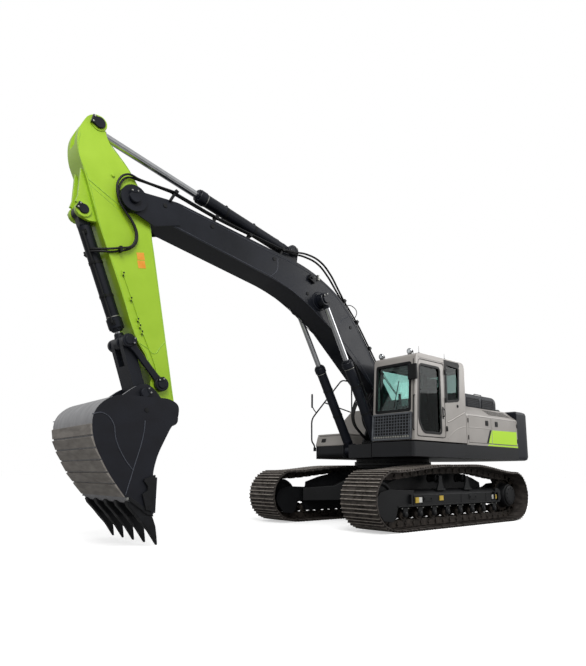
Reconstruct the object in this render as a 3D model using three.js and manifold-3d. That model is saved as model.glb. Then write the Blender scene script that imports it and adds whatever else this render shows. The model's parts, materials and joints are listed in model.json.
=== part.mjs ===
// A tracked excavator of the 36 tonne class, standing on flat ground with its arm out front.
// Millimetres, +X forwards, +Y to the machine's left, +Z up, ground at z = 0.
// Driving dimensions come first, then small shape helpers, then one function per sub-part.

import * as THREE from 'three';
import { mergeVertices } from 'three/addons/utils/BufferGeometryUtils.js';
import Module from 'manifold-3d';

const wasm = await Module();
wasm.setup();

// ---------- driving dimensions ----------
const BOX_MIDDLE_X = 1735.2; // middle of the whole machine's length, ahead of the slew axis
const TOUCH = 0.3; // gap between pieces that are bolted face to face
const CLEAR = 6; // gap between pieces that move past each other

// undercarriage
const TRACK_Y = 1295; // half the gauge
const SHOE_WIDTH = 800;
const SHOE_COUNT = 50;
const SHOE_DEPTH = 45;
const GROUSER = 26;
const CHAIN_DEPTH = 175; // from the grouser tips in to the rail
const CHAIN_WIDTH = 220;
const CHAIN_STEPS = 46;
const IDLER = { x: 2000, z: 520, r: 490 }; // radius out to the grouser tips
const SPROCKET = { x: -2040, z: 515, r: 490 };
const WHEEL_R = 300;
const ROLLER_R = 84;
const ROLLER_Z = CHAIN_DEPTH + ROLLER_R + 2;
const ROLLER_XS = [-1470, -1050, -630, -210, 210, 630, 1050, 1470];
const CARRIER_XS = [400, -500];
const UPPER_RUN = [1124, 1138]; // height of the grouser tips over the two carrier rollers
const SIDE_FRAME = { inner: 1100, outer: 1490, bottom: 390, top: 670 };
const RING_R = 800;
const RING_BOTTOM = 1110;
const RING_TOP = 1255;

// upper structure
const DECK_BOTTOM = 1262;
const DECK_TOP = 1530;
const HOUSE_Y = 1490; // half the body's width
const HOUSE_REAR = -2600; // where the counterweight starts
const HOUSE_TOP = 2370;
const SHOULDER_Z = 2150; // top of the flat side, where the sloping shoulder starts
const SHOULDER_Y = 1200;
const BAY_Y = 600; // half the width of the engine bay
const TAIL_RADIUS = 3450;
const SIDE_DOOR_Z = [1575, 2125];
const SHEET = 40; // thickness of doors and body walls
const HOOD = { front: -1030, rear: -2330, left: 1150, right: -1050, top: 2690 };

// cab
const CAB = { rear: -500, inner: 505, outer: 1500, bottom: DECK_TOP + 25, top: 3170 };
const CAB_WALL = 60;
const CAB_FOOT_X = 1197; // front of the cab at its floor
const CAB_RAKE = 0.061; // how far the front leans back for each millimetre of height
const DOOR = { rear: 215, bottom: 1615, top: 3065, frontPillar: 60, frame: 52 };
const GLASS = 8;

// boom, arm and bucket pins, side view [x, z]
const BOOM_FOOT = [180, 1950];
const ARM_PIN = [6100, 4870];
const BUCKET_PIN = [5360, 1735];
const BOOM_CYLINDER_BASE = [870, 1420];
const BOOM_CYLINDER_PIN = [2945, 1000]; // on the boom: along it from its foot, and above the line
const ARM_CYLINDER_BASE = [3830, 1545]; // on the boom
const ARM_CYLINDER_PIN = [-1096, 300]; // on the arm: along it from its pin, and ahead of the line
const BUCKET_CYLINDER_BASE = [180, 700]; // on the arm
const SIDE_LINK_PIN = [2734, 15]; // on the arm
const LINK_PIN = [2062, 400]; // on the arm's frame, where cylinder, side links and h link meet
const BUCKET_LINK_PIN = [400, 310]; // from the bucket pin
const BOOM_HALF = 260; // half the boom's width
const ARM_HALF = 200;
const FORK_HALF = 212; // half the gap between the boom's two ears
const BUCKET_HALF = 750;
const BOOM_CYLINDER_Y = 385;

// ---------- colours and finishes ----------
const finish = (color, roughness, metalness = 0) => new THREE.MeshStandardMaterial({
  color, roughness, metalness,
});
const charcoal = () => finish(0x2e3034, 0.5, 0.2);
const frameBlack = () => finish(0x26272a, 0.6, 0.2);
const lime = () => finish(0xa5cf38, 0.4, 0.1);
const silver = () => finish(0xb9b5b0, 0.45, 0.2);
const trackSteel = () => finish(0x4a443e, 0.7, 0.7);
const chromeRod = () => finish(0xd8dadc, 0.15, 1);
const tintedGlass = () => finish(0x6fa8a0, 0.05, 0);
const blackPlastic = () => finish(0x1c1d1f, 0.6, 0);

// ---------- shape helpers ----------
function solid(geometry) {
  geometry.deleteAttribute('normal');
  geometry.deleteAttribute('uv');
  const merged = mergeVertices(geometry, 1e-3);
  return new wasm.Manifold(new wasm.Mesh({
    numProp: 3,
    vertProperties: new Float32Array(merged.attributes.position.array),
    triVerts: new Uint32Array(merged.index.array),
  }));
}

function node(name, shape, material) {
  const cut = shape.getMesh();
  const geometry = new THREE.BufferGeometry();
  geometry.setAttribute('position', new THREE.BufferAttribute(cut.vertProperties, 3));
  geometry.setIndex(new THREE.BufferAttribute(cut.triVerts, 1));
  const mesh = new THREE.Mesh(geometry, material);
  mesh.name = name;
  return mesh;
}

const join = (shapes) => shapes.reduce((all, shape) => all.add(shape));

function block([x0, x1], [y0, y1], [z0, z1]) {
  const box = new THREE.BoxGeometry(x1 - x0, y1 - y0, z1 - z0);
  return solid(box.translate((x0 + x1) / 2, (y0 + y1) / 2, (z0 + z1) / 2));
}

// an outline of [a, b] corners, or [a, b, r] where the corner is rounded as far as its edges allow
function outline(corners) {
  const points = corners.map(([a, b]) => new THREE.Vector2(a, b));
  const shape = new THREE.Shape();
  corners.forEach(([, , radius], i) => {
    const here = points[i];
    const before = points[(i + points.length - 1) % points.length];
    const after = points[(i + 1) % points.length];
    const start = here.clone();
    const end = here.clone();
    if (radius) {
      const room = 0.49 * Math.min(before.distanceTo(here), after.distanceTo(here));
      start.add(before.clone().sub(here).setLength(Math.min(radius, room)));
      end.add(after.clone().sub(here).setLength(Math.min(radius, room)));
    }
    if (i === 0) shape.moveTo(start.x, start.y);
    else shape.lineTo(start.x, start.y);
    if (radius) shape.quadraticCurveTo(here.x, here.y, end.x, end.y);
  });
  return shape;
}

// a side-view outline, given thickness across the machine
function plate(shape, [y0, y1], steps = 3) {
  const geometry = new THREE.ExtrudeGeometry(shape, {
    depth: y1 - y0, bevelEnabled: false, curveSegments: steps,
  });
  return solid(geometry.rotateX(Math.PI / 2).translate(0, y1, 0));
}

// a plan-view outline, given height
function slab(shape, [z0, z1], steps = 3) {
  const geometry = new THREE.ExtrudeGeometry(shape, {
    depth: z1 - z0, bevelEnabled: false, curveSegments: steps,
  });
  return solid(geometry.translate(0, 0, z0));
}

// a front-view outline [y, z], given length along the machine
function rail(shape, [x0, x1], steps = 3) {
  const geometry = new THREE.ExtrudeGeometry(shape, {
    depth: x1 - x0, bevelEnabled: false, curveSegments: steps,
  });
  return solid(geometry.rotateX(Math.PI / 2).rotateZ(Math.PI / 2).translate(x0, 0, 0));
}

// a round bar across the machine
function crossBar([x, z], radius, [y0, y1], sides = 16) {
  const bar = new THREE.CylinderGeometry(radius, radius, y1 - y0, sides);
  return solid(bar.translate(x, (y0 + y1) / 2, z));
}

// a round bar along its own x axis
function lengthBar([x0, x1], radius, sides = 16) {
  const bar = new THREE.CylinderGeometry(radius, radius, x1 - x0, sides);
  return solid(bar.rotateZ(Math.PI / 2).translate((x0 + x1) / 2, 0, 0));
}

function postBar([x, y], radius, [z0, z1], sides = 16) {
  const bar = new THREE.CylinderGeometry(radius, radius, z1 - z0, sides);
  return solid(bar.rotateX(Math.PI / 2).translate(x, y, (z0 + z1) / 2));
}

// a bent pipe through a list of points
function pipe(points, radius, steps = 24, sides = 6) {
  const path = new THREE.CatmullRomCurve3(points.map((p) => new THREE.Vector3(...p)), false, 'chordal');
  const section = new THREE.Shape();
  for (let i = 0; i < sides; i += 1) {
    const turn = (i / sides) * 2 * Math.PI;
    const corner = [radius * Math.cos(turn), radius * Math.sin(turn)];
    if (i === 0) section.moveTo(...corner);
    else section.lineTo(...corner);
  }
  return solid(new THREE.ExtrudeGeometry(section, { steps, extrudePath: path }));
}

const bothSides = (makeSide) => join([makeSide(1), makeSide(-1)]);
const span = (side, near, far) => (side > 0 ? [near, far] : [-far, -near]);

// ---------- frames that turn with the boom, arm and cylinders ----------
const angleOf = ([x0, z0], [x1, z1]) => Math.atan2(z1 - z0, x1 - x0);
const distanceOf = ([x0, z0], [x1, z1]) => Math.hypot(x1 - x0, z1 - z0);
const BOOM_ANGLE = angleOf(BOOM_FOOT, ARM_PIN);
const ARM_ANGLE = angleOf(ARM_PIN, BUCKET_PIN);
const BOOM_LENGTH = distanceOf(BOOM_FOOT, ARM_PIN);
const ARM_LENGTH = distanceOf(ARM_PIN, BUCKET_PIN);

// where a point given in a turned frame lies in the machine's side view
function place([u, v], [x, z], angle) {
  return [
    x + u * Math.cos(angle) - v * Math.sin(angle),
    z + u * Math.sin(angle) + v * Math.cos(angle),
  ];
}

const onBoom = (point) => place(point, BOOM_FOOT, BOOM_ANGLE);
const onArm = (point) => place(point, ARM_PIN, ARM_ANGLE);
const bucketLinkPin = [BUCKET_PIN[0] + BUCKET_LINK_PIN[0], BUCKET_PIN[1] + BUCKET_LINK_PIN[1]];

// a group whose +X runs along the given side-view angle
function turned([x, z], angle, meshes) {
  const group = new THREE.Group();
  group.position.set(x, 0, z);
  group.rotation.y = -angle;
  group.add(...meshes);
  return group;
}

// ---------- undercarriage ----------
// the closed line that the grouser tips follow, seen from the left
function trackLine() {
  const points = [-1500, -750, 0, 750, 1500].map((x) => [x, 0]);
  const arc = (wheel, from, to) => {
    for (let turn = from; turn <= to; turn += 25) {
      const a = (turn * Math.PI) / 180;
      points.push([wheel.x + wheel.r * Math.cos(a), wheel.z + wheel.r * Math.sin(a)]);
    }
  };
  arc(IDLER, -75, 90);
  points.push([1420, 1030], [CARRIER_XS[0], UPPER_RUN[0]], [CARRIER_XS[1], UPPER_RUN[1]], [-1350, 1052]);
  arc(SPROCKET, 90, 255);
  const loop = points.map(([x, z]) => new THREE.Vector3(x, 0, z));
  return new THREE.CatmullRomCurve3(loop, true, 'centripetal');
}

// points on the track line, moved inwards by a depth, at the given shares of each pitch
function trackPoints(line, count, steps) {
  const points = [];
  for (let i = 0; i < count; i += 1) {
    steps.forEach(([share, depth]) => {
      const s = ((i + share) / count) % 1;
      const here = line.getPointAt(s);
      const along = line.getTangentAt(s);
      const up = Math.max(here.z, 0); // the lower run lies flat on the ground
      points.push(new THREE.Vector2(here.x - along.z * depth, up + along.x * depth));
    });
  }
  return points;
}

function ringPlate(outer, inner, y) {
  const shape = new THREE.Shape(outer);
  shape.holes.push(new THREE.Path(inner));
  return plate(shape, y);
}

function track(side) {
  const line = trackLine();
  const middle = side * TRACK_Y;
  const shoes = trackPoints(line, SHOE_COUNT, [[0, GROUSER], [0.06, 0], [0.94, 0]]);
  const underShoes = trackPoints(line, CHAIN_STEPS, [[0, SHOE_DEPTH]]);
  const chainOuter = trackPoints(line, CHAIN_STEPS, [[0.5, SHOE_DEPTH - 10]]);
  const chainInner = trackPoints(line, CHAIN_STEPS, [[0, CHAIN_DEPTH]]);
  const across = (width) => [middle - width / 2, middle + width / 2];
  return ringPlate(shoes, underShoes, across(SHOE_WIDTH))
    .add(ringPlate(chainOuter, chainInner, across(CHAIN_WIDTH)));
}

// side frame with its rollers, the idler's guard plates and the final drive's bracket
function trackFrame(side) {
  const { inner, outer, bottom, top } = SIDE_FRAME;
  const across = (near, far) => span(side, near, far);
  const parts = [
    rail(outline([[side * inner, bottom], [side * outer, bottom], [side * outer, top - 90, 60],
      [side * (outer - 110), top], [side * (inner + 30), top], [side * inner, top - 40]]), [-1640, 1700]),
  ];
  ROLLER_XS.forEach((x) => {
    parts.push(crossBar([x, ROLLER_Z], ROLLER_R, across(1160, 1430), 10));
    parts.push(block([x - 55, x + 55], across(1118, 1165), [ROLLER_Z - 20, bottom + 10]));
    parts.push(block([x - 55, x + 55], across(1425, 1472), [ROLLER_Z - 20, bottom + 10]));
  });
  CARRIER_XS.forEach((x) => {
    const railZ = UPPER_RUN[0] - CHAIN_DEPTH - ROLLER_R - 8;
    parts.push(crossBar([x, railZ], ROLLER_R - 6, across(1190, 1400), 12));
    parts.push(block([x - 60, x + 60], across(1395, 1440), [top - 60, railZ + 50]));
    parts.push(block([x - 110, x + 110], across(1330, 1440), [top - 60, top + 60]));
  });
  const guard = outline([[1250, 390], [1690, 385], [1760, 150, 60], [2080, 180, 120], [2260, 430, 90],
    [2200, 640, 120], [1900, 690, 60], [1250, 668]]);
  parts.push(plate(guard, across(1440, outer)));
  parts.push(plate(guard, across(inner, 1130)));
  parts.push(block([1500, 1680], across(inner, outer), [400, 640]));
  const driveBracket = outline([[-1500, 395], [-1500, 668], [-1800, 760, 90], [-2260, 740, 160],
    [-2300, 330, 160], [-1800, 330, 90]]);
  parts.push(plate(driveBracket, across(inner, inner + 20)));
  parts.push(plate(outline([[-1500, 395], [-1500, 668], [-1690, 640, 60], [-1700, 420, 60]]),
    across(inner, outer)));
  return join(parts);
}

function idler(side) {
  const across = (near, far) => span(side, near, far);
  const center = [IDLER.x, IDLER.z];
  return join([
    crossBar(center, WHEEL_R, across(1245, 1345), 24),
    crossBar(center, WHEEL_R - 26, across(1195, 1395), 24),
    crossBar(center, 80, across(1130 + TOUCH, 1440 - TOUCH), 16),
  ]);
}

function sprocket(side) {
  const across = (near, far) => span(side, near, far);
  const center = [SPROCKET.x, SPROCKET.z];
  return join([
    crossBar(center, WHEEL_R - 6, across(1262, 1328), 24),
    crossBar(center, 240, across(1120 + TOUCH, 1520), 20),
    crossBar(center, 205, across(1515, 1560), 20),
  ]);
}

// the middle pedestal and its four legs out to the side frames
function centerFrame() {
  const legEnd = SIDE_FRAME.inner - TOUCH;
  const legProfile = outline([[200, 430], [1900, 400], [1900, 655], [1250, 700], [620, 1010], [200, 1040]]);
  const parts = [
    postBar([0, 0], 640, [455, RING_BOTTOM - 40], 20),
    postBar([0, 0], 740, [RING_BOTTOM - 45, RING_BOTTOM - TOUCH], 24),
  ];
  [40, 140, 220, 320].forEach((degrees) => {
    parts.push(plate(legProfile, [-215, 215]).rotate([0, 0, degrees]));
  });
  const reach = block([-1700, 1700], [-legEnd, legEnd], [0, 1300]);
  return join(parts).intersect(reach);
}

function slewRing() {
  return join([
    postBar([0, 0], RING_R, [RING_BOTTOM, RING_BOTTOM + 62], 28),
    postBar([0, 0], RING_R - 34, [RING_BOTTOM + 60, RING_TOP], 28),
  ]);
}

// ---------- upper structure ----------
// deck slab with its forward tongue, the two boom foot plates and the cylinder lugs
function deckFrame() {
  const tongueX = 1015;
  const tongueY = 495;
  const plan = outline([[1240, HOUSE_Y, 90], [HOUSE_REAR, HOUSE_Y], [HOUSE_REAR, -HOUSE_Y],
    [870, -HOUSE_Y, 90], [870, -610, 60], [700, -tongueY], [tongueX, -tongueY], [tongueX, tongueY],
    [1240, tongueY, 60]]);
  const footPlate = outline([[-1500, 1500], [640, 1500], [520, 1760, 120], [390, 2120, 150],
    [10, 2150, 170], [-420, 1830, 200], [-1500, 1650]]);
  const pocket = (side) => block([700, 1100], span(side, 308, 462), [1200, 1600]);
  const lug = (side, near, far) => crossBar(BOOM_CYLINDER_BASE, 138, span(side, near, far), 16);
  let deck = slab(plan, [DECK_BOTTOM, DECK_TOP]);
  deck = deck.add(bothSides((side) => plate(footPlate, span(side, 276, 316))));
  deck = deck.add(bothSides((side) => crossBar(BOOM_FOOT, 78, span(side, 310, 352), 16)));
  deck = deck.subtract(bothSides(pocket));
  return deck.add(bothSides((side) => lug(side, 280, 309).add(lug(side, 461, 492))));
}

// the tail's curved casting, with a lip that closes the roof behind the hood
function counterweight() {
  const side = HOUSE_Y;
  const tail = new THREE.Shape();
  const spread = 0.415; // half the angle of the tail's arc
  const arcX = -TAIL_RADIUS * Math.cos(spread);
  const arcY = TAIL_RADIUS * Math.sin(spread);
  const front = HOUSE_REAR - TOUCH;
  tail.moveTo(front, -side);
  tail.lineTo(front, side);
  tail.lineTo(front - 330, side);
  tail.quadraticCurveTo(arcX + 20, side, arcX, arcY);
  tail.absarc(0, 0, TAIL_RADIUS, Math.PI - spread, Math.PI + spread, false);
  tail.quadraticCurveTo(arcX + 20, -side, front - 330, -side);
  const blockShape = new THREE.ExtrudeGeometry(tail, {
    depth: HOUSE_TOP - DECK_BOTTOM - 160, bevelEnabled: true, bevelThickness: 80, bevelSize: 70,
    bevelOffset: -70, bevelSegments: 2, curveSegments: 9,
  });
  const body = solid(blockShape.translate(0, 0, DECK_BOTTOM + 80));
  const lip = block([front - 20, HOOD.rear + 30], [-BAY_Y + 3, BAY_Y - 3], [HOUSE_TOP - SHEET, HOUSE_TOP]);
  return body.intersect(block([-4000, front], [-side, side], [0, HOUSE_TOP])).add(lip);
}

const bodySection = (side, inset) => outline([
  [side * (BAY_Y + inset), DECK_TOP + TOUCH + inset], [side * (HOUSE_Y - inset), DECK_TOP + TOUCH + inset],
  [side * (HOUSE_Y - inset), SHOULDER_Z - inset * 0.4, 40], [side * (SHOULDER_Y - inset * 0.4), HOUSE_TOP - inset, 40],
  [side * (BAY_Y + inset), HOUSE_TOP - inset]]);

const LEFT_BODY = [HOUSE_REAR + 8, CAB.rear - 30];
const LEFT_DOORS = { middle: -1490, front: -590, rear: -2560 };

// engine-side compartments behind the cab: a sheet metal housing that its doors close
function leftBody() {
  const [rear, front] = LEFT_BODY;
  const { middle } = LEFT_DOORS;
  const shell = rail(bodySection(1, 0), [rear, front]);
  const hollow = rail(bodySection(1, SHEET), [rear + SHEET, front - SHEET]);
  const openings = [[LEFT_DOORS.rear, middle - 15], [middle + 15, LEFT_DOORS.front]].map((x) => (
    block(x, [HOUSE_Y - SHEET - 5, HOUSE_Y + 20], SIDE_DOOR_Z)));
  const divider = block([middle - 15, middle + 15], [BAY_Y + 20, HOUSE_Y - 20], [DECK_TOP + 20, SHOULDER_Z]);
  return shell.subtract(hollow).add(divider).subtract(join(openings));
}

function sideDoor([x0, x1], side) {
  const gap = CLEAR;
  const z = [SIDE_DOOR_Z[0] + gap, SIDE_DOOR_Z[1] - gap];
  return block([x0 + gap, x1 - gap], span(side, HOUSE_Y - SHEET, HOUSE_Y), z);
}

const PUMP_BAY = { front: -1540, rear: HOUSE_REAR + 8, doorFront: -1590, doorRear: -2560 };

function rightBody() {
  const shell = rail(bodySection(-1, 0), [PUMP_BAY.rear, PUMP_BAY.front]);
  const hollow = rail(bodySection(-1, SHEET), [PUMP_BAY.rear + SHEET, PUMP_BAY.front - SHEET]);
  const opening = block([PUMP_BAY.doorRear, PUMP_BAY.doorFront],
    [-HOUSE_Y - 20, -HOUSE_Y + SHEET + 5], SIDE_DOOR_Z);
  return shell.subtract(hollow).subtract(opening);
}

function tank([x0, x1]) {
  return rail(bodySection(-1, 0), [x0, x1]);
}

// front wall and top of the engine bay, behind the boom foot
function fireWall() {
  const y = [-BAY_Y + 3, BAY_Y - 3];
  return join([
    block([-660, -620], y, [DECK_TOP + TOUCH, HOUSE_TOP]),
    block([-1020, -640], y, [HOUSE_TOP - SHEET, HOUSE_TOP]),
  ]).subtract(bothSides((side) => block([-700, -600], span(side, 250, 330), [1500, 1800])));
}

function engineBlock() {
  return block([-2320, -1560], [-520, 470], [DECK_TOP + 70, 2280])
    .add(block([-2250, -1630], [-420, 380], [DECK_TOP + TOUCH, DECK_TOP + 90]));
}

function engineHood() {
  const { front, rear, left, right, top } = HOOD;
  const bottom = HOUSE_TOP + CLEAR;
  const section = (inset) => outline([[right + inset, bottom - (inset ? 50 : 0)], [right + inset, top - 50 - inset, 30],
    [right + 60 + inset, top - inset, 30], [left - 90 - inset, top - inset, 60], [left - inset, top - 90 - inset, 60],
    [left - inset, bottom - (inset ? 50 : 0)]]);
  return rail(section(0), [rear, front]).subtract(rail(section(35), [rear + 35, front - 35]));
}

const TOOL_BOX = { rear: 25, front: 850, left: -625, top: 1800, lean: 0.3 };
const TOOL_BOX_RIM = TOOL_BOX.top - 46;
const toolBoxFront = (z) => TOOL_BOX.front - (z - DECK_TOP) * TOOL_BOX.lean;

function toolBox() {
  const y = [-HOUSE_Y, TOOL_BOX.left];
  const bottom = DECK_TOP + TOUCH;
  const wall = 30;
  const shell = plate(outline([[TOOL_BOX.rear, bottom], [TOOL_BOX.front, bottom, 30],
    [toolBoxFront(TOOL_BOX_RIM), TOOL_BOX_RIM], [TOOL_BOX.rear, TOOL_BOX_RIM]]), y);
  return shell.subtract(block([TOOL_BOX.rear + wall, toolBoxFront(TOOL_BOX_RIM) - wall],
    [y[0] + wall + 10, y[1] - wall], [bottom + wall, 2000]));
}

function toolBoxLid() {
  const low = TOOL_BOX_RIM + CLEAR;
  return plate(outline([[TOOL_BOX.rear, low], [toolBoxFront(low), low],
    [toolBoxFront(TOOL_BOX.top), TOOL_BOX.top, 25], [TOOL_BOX.rear, TOOL_BOX.top]]), [-HOUSE_Y, TOOL_BOX.left]);
}

// the rail up the right front corner and along the tank, with its mirror
function rightHandrail() {
  const y = -1465;
  const r = 17;
  const front = pipe([[893, y, 1475], [915, y, 1545], [960, y, 1620], [985, y, 1800], [990, y, 2060], [960, y, 2165],
    [848, y, 2287], [180, y, 3000], [75, y, 3095], [-40, y, 3130], [-200, y, 3130], [-285, y, 3070],
    [-306, y, 2950], [-306, y, 2600], [-306, y, 2186]], r, 36);
  const mid = pipe([[610, y, 2545], [300, y, 2490], [-306, y, 2385]], r, 6);
  const mirror = block([-20, 20], [-90, 90], [0, 310]).rotate([0, 0, -42]).translate([962, y - 20, 2395]);
  const stalk = pipe([[850, y, 2284], [905, y - 5, 2335], [955, y - 14, 2420]], r - 3, 4);
  const foot = block([870 + TOUCH, 915], [y - 25, y + 25], [1430, 1515]);
  return join([front, mid, mirror, stalk, foot]);
}

function exhaustPipe() {
  return postBar([-2050, -1180], 62, [HOUSE_TOP + TOUCH, HOUSE_TOP + 330], 16)
    .add(postBar([-2050, -1180], 95, [HOUSE_TOP + TOUCH, HOUSE_TOP + 40], 16));
}

// ---------- cab ----------
const cabFront = (z) => CAB_FOOT_X - (z - CAB.bottom) * CAB_RAKE;

function cabSection(inset) {
  const bottom = CAB.bottom + inset;
  const top = CAB.top - inset;
  return outline([[CAB.rear + inset, bottom], [cabFront(bottom) - inset, bottom],
    [cabFront(top) - inset, top, 110], [CAB.rear + inset, top, 120]]);
}

// an opening or a pane that leans back with the cab's front, [z0, z1] high and [y0, y1] wide
function frontPane([y0, y1], [z0, z1], thickness, depth) {
  const shape = outline([[cabFront(z0) - depth, z0], [cabFront(z0) - depth + thickness, z0],
    [cabFront(z1) - depth + thickness, z1], [cabFront(z1) - depth, z1]]);
  return plate(shape, [y0, y1]);
}

const doorFront = (z, gap) => cabFront(z) - DOOR.frontPillar - gap;
const doorOutline = (gap) => outline([[DOOR.rear + gap, DOOR.bottom + gap, 90],
  [doorFront(DOOR.bottom, gap), DOOR.bottom + gap, 60],
  [doorFront(DOOR.top, gap), DOOR.top - gap, 90], [DOOR.rear + gap, DOOR.top - gap, 50]]);
const paneFront = (z, gap) => doorFront(z, gap) - DOOR.frame;
const doorWindow = (gap) => outline([[DOOR.rear + 145 + gap, 1695 + gap, 120],
  [925 + gap * 0.5, 1695 + gap, 90], [paneFront(1910, gap), 1910, 70],
  [paneFront(2965, gap), 2965 - gap, 90], [DOOR.rear + 145 + gap, 2965 - gap, 60]]);
const quarterWindow = (gap) => outline([[-262 + gap, 2380 + gap, 90], [162 - gap, 2318 + gap, 60],
  [162 - gap, 3085 - gap, 30], [-300 + gap, 3060 - gap, 90]]);
const WINDSCREEN = { y: [575, 1395], z: [2085, 3000] };
const RIGHT_WINDOW = [[-330, 2000, 80], [1030, 2000, 80], [985, 3000, 90], [-330, 3000, 90]];
const REAR_WINDOW = { y: [640, 1390], z: [2240, 3000] };

function cabShell() {
  const outside = plate(cabSection(0), [CAB.inner, CAB.outer], 5);
  const inside = plate(cabSection(CAB_WALL), [CAB.inner + CAB_WALL, CAB.outer - CAB_WALL]);
  const left = [CAB.outer - CAB_WALL - 10, CAB.outer + 20];
  const cuts = [
    plate(doorOutline(0), left),
    plate(quarterWindow(0), left),
    plate(outline(RIGHT_WINDOW), [CAB.inner - 20, CAB.inner + CAB_WALL + 10]),
    block([CAB.rear - 20, CAB.rear + CAB_WALL + 10], REAR_WINDOW.y, REAR_WINDOW.z),
    frontPane(WINDSCREEN.y, WINDSCREEN.z, 150, 110),
  ];
  return outside.subtract(inside).subtract(join(cuts));
}

function cabDoor() {
  const y = [CAB.outer - 50, CAB.outer];
  return plate(doorOutline(CLEAR), y).subtract(plate(doorWindow(0), [y[0] - 5, y[1] + 5]));
}

const doorGlass = () => plate(doorWindow(TOUCH), [CAB.outer - 30, CAB.outer - 30 + GLASS]);
const quarterGlass = () => plate(quarterWindow(TOUCH), [CAB.outer - 25, CAB.outer - 25 + GLASS]);

function windscreen() {
  const { y, z } = WINDSCREEN;
  const edge = TOUCH * 2;
  return frontPane([y[0] + edge, y[1] - edge], [z[0] + edge, z[1] - edge], GLASS, 34);
}

function rightGlass() {
  const [a, b, c, d] = RIGHT_WINDOW;
  const e = TOUCH * 2;
  return plate(outline([[a[0] + e, a[1] + e, 80], [b[0] - e, b[1] + e, 80], [c[0] - e, c[1] - e, 90],
    [d[0] + e, d[1] - e, 90]]), [CAB.inner + 20, CAB.inner + 20 + GLASS]);
}

function rearGlass() {
  const e = TOUCH;
  return block([CAB.rear + 22, CAB.rear + 22 + GLASS], [REAR_WINDOW.y[0] + e, REAR_WINDOW.y[1] - e],
    [REAR_WINDOW.z[0] + e, REAR_WINDOW.z[1] - e]);
}

// a welded grille that protects the lower windscreen
function windscreenGuard() {
  const z = [CAB.bottom + 5, 2060];
  const y = [515, 1445];
  const bar = 24;
  const panel = (ys, zs) => frontPane(ys, zs, bar, -18);
  const parts = [
    panel([y[0], y[0] + 55], z), panel([y[1] - 55, y[1]], z),
    panel(y, [z[0], z[0] + 70]), panel(y, [z[1] - 45, z[1]]),
  ];
  for (let i = 1; i < 4; i += 1) {
    const across = y[0] + ((y[1] - y[0]) * i) / 4;
    parts.push(panel([across - 9, across + 9], z));
  }
  for (let i = 1; i < 3; i += 1) {
    const up = z[0] + ((z[1] - z[0]) * i) / 3;
    parts.push(panel(y, [up - 9, up + 9]));
  }
  const stays = [y[0] + 25, y[1] - 40].map((at) => frontPane([at, at + 28], [1700, 1960], 30, -TOUCH));
  return join([...parts, ...stays]);
}

function operatorSeat() {
  const middle = 1010;
  const across = (half) => [middle - half, middle + half];
  return join([
    plate(outline([[150, 1960, 30], [620, 1985, 60], [620, 2110, 60], [150, 2080, 30]]), across(250)),
    plate(outline([[40, 2050, 40], [190, 2050, 40], [120, 2680, 60], [-20, 2680, 60]]), across(240)),
    plate(outline([[-20, 2650, 20], [110, 2650, 20], [85, 2860, 50], [-10, 2860, 50]]), across(140)),
    block([180, 520], across(200), [CAB.bottom + CAB_WALL + TOUCH, 2000]),
  ]);
}

// the two arm consoles, joined by the seat's base plate
function controlConsole() {
  const middle = 1010;
  const low = CAB.bottom + CAB_WALL + TOUCH;
  const console = (side) => {
    const near = middle + side * 275;
    const y = side > 0 ? [near, near + 110] : [near - 110, near];
    const lever = middle + side * 330;
    return join([
      plate(outline([[120, low], [360, low], [560, 2180, 60], [600, 2290, 40], [120, 2240, 40]]), y),
      postBar([560, lever], 14, [2200, 2430], 8),
      postBar([560, lever], 26, [2400, 2520], 8),
    ]);
  };
  return join([console(1), console(-1),
    block([130, 170], [middle - 380, middle + 380], [low, low + 90])]);
}

function cabMirror() {
  return block([1165, 1212], [1385, 1580], [2645, 2935])
    .add(block([cabFront(2770) + TOUCH, 1175], [1430, 1475], [2770, 2800]));
}

// ---------- boom, arm, bucket and their cylinders ----------
const BOSS = 200; // radius of the steel bosses at the boom's and arm's ends

function boom() {
  const side = outline([
    [-120, -120, 90], [60, -205, 90], [760, 262, 280], [2750, 800, 900], [3720, 748, 500],
    [6330, -25, 60], [6560, -215, 160], [6810, -90, 170], [6780, 160, 150], [6540, 215, 60],
    [6230, 400, 80], [6030, 510, 60], [3430, 1418, 420], [2420, 1448, 480], [-60, 215, 150], [-200, 90, 90]]);
  const slot = block([6140, 7000], [-FORK_HALF, FORK_HALF], [-600, 900]);
  const lug = outline([[3600, 1250], [4060, 1120], [3940, 1590, 90], [3830, 1665, 80], [3720, 1590, 90]]);
  const parts = [
    plate(side, [-BOOM_HALF, BOOM_HALF], 6).subtract(slot),
    crossBar([0, 0], 190, [-BOOM_HALF, BOOM_HALF], 20),
  ];
  [1, -1].forEach((s) => {
    parts.push(crossBar([BOOM_LENGTH, 0], BOSS, span(s, FORK_HALF, BOOM_HALF + 60), 24));
    parts.push(crossBar([BOOM_LENGTH, 0], 85, span(s, BOOM_HALF + 55, BOOM_HALF + 95), 16));
    parts.push(crossBar(BOOM_CYLINDER_PIN, 150, span(s, BOOM_HALF - 20, 308), 16));
    parts.push(plate(lug, span(s, 86, 136)));
    parts.push(crossBar(ARM_CYLINDER_BASE, 118, span(s, 84, 150), 16));
  });
  return join(parts);
}

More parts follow.
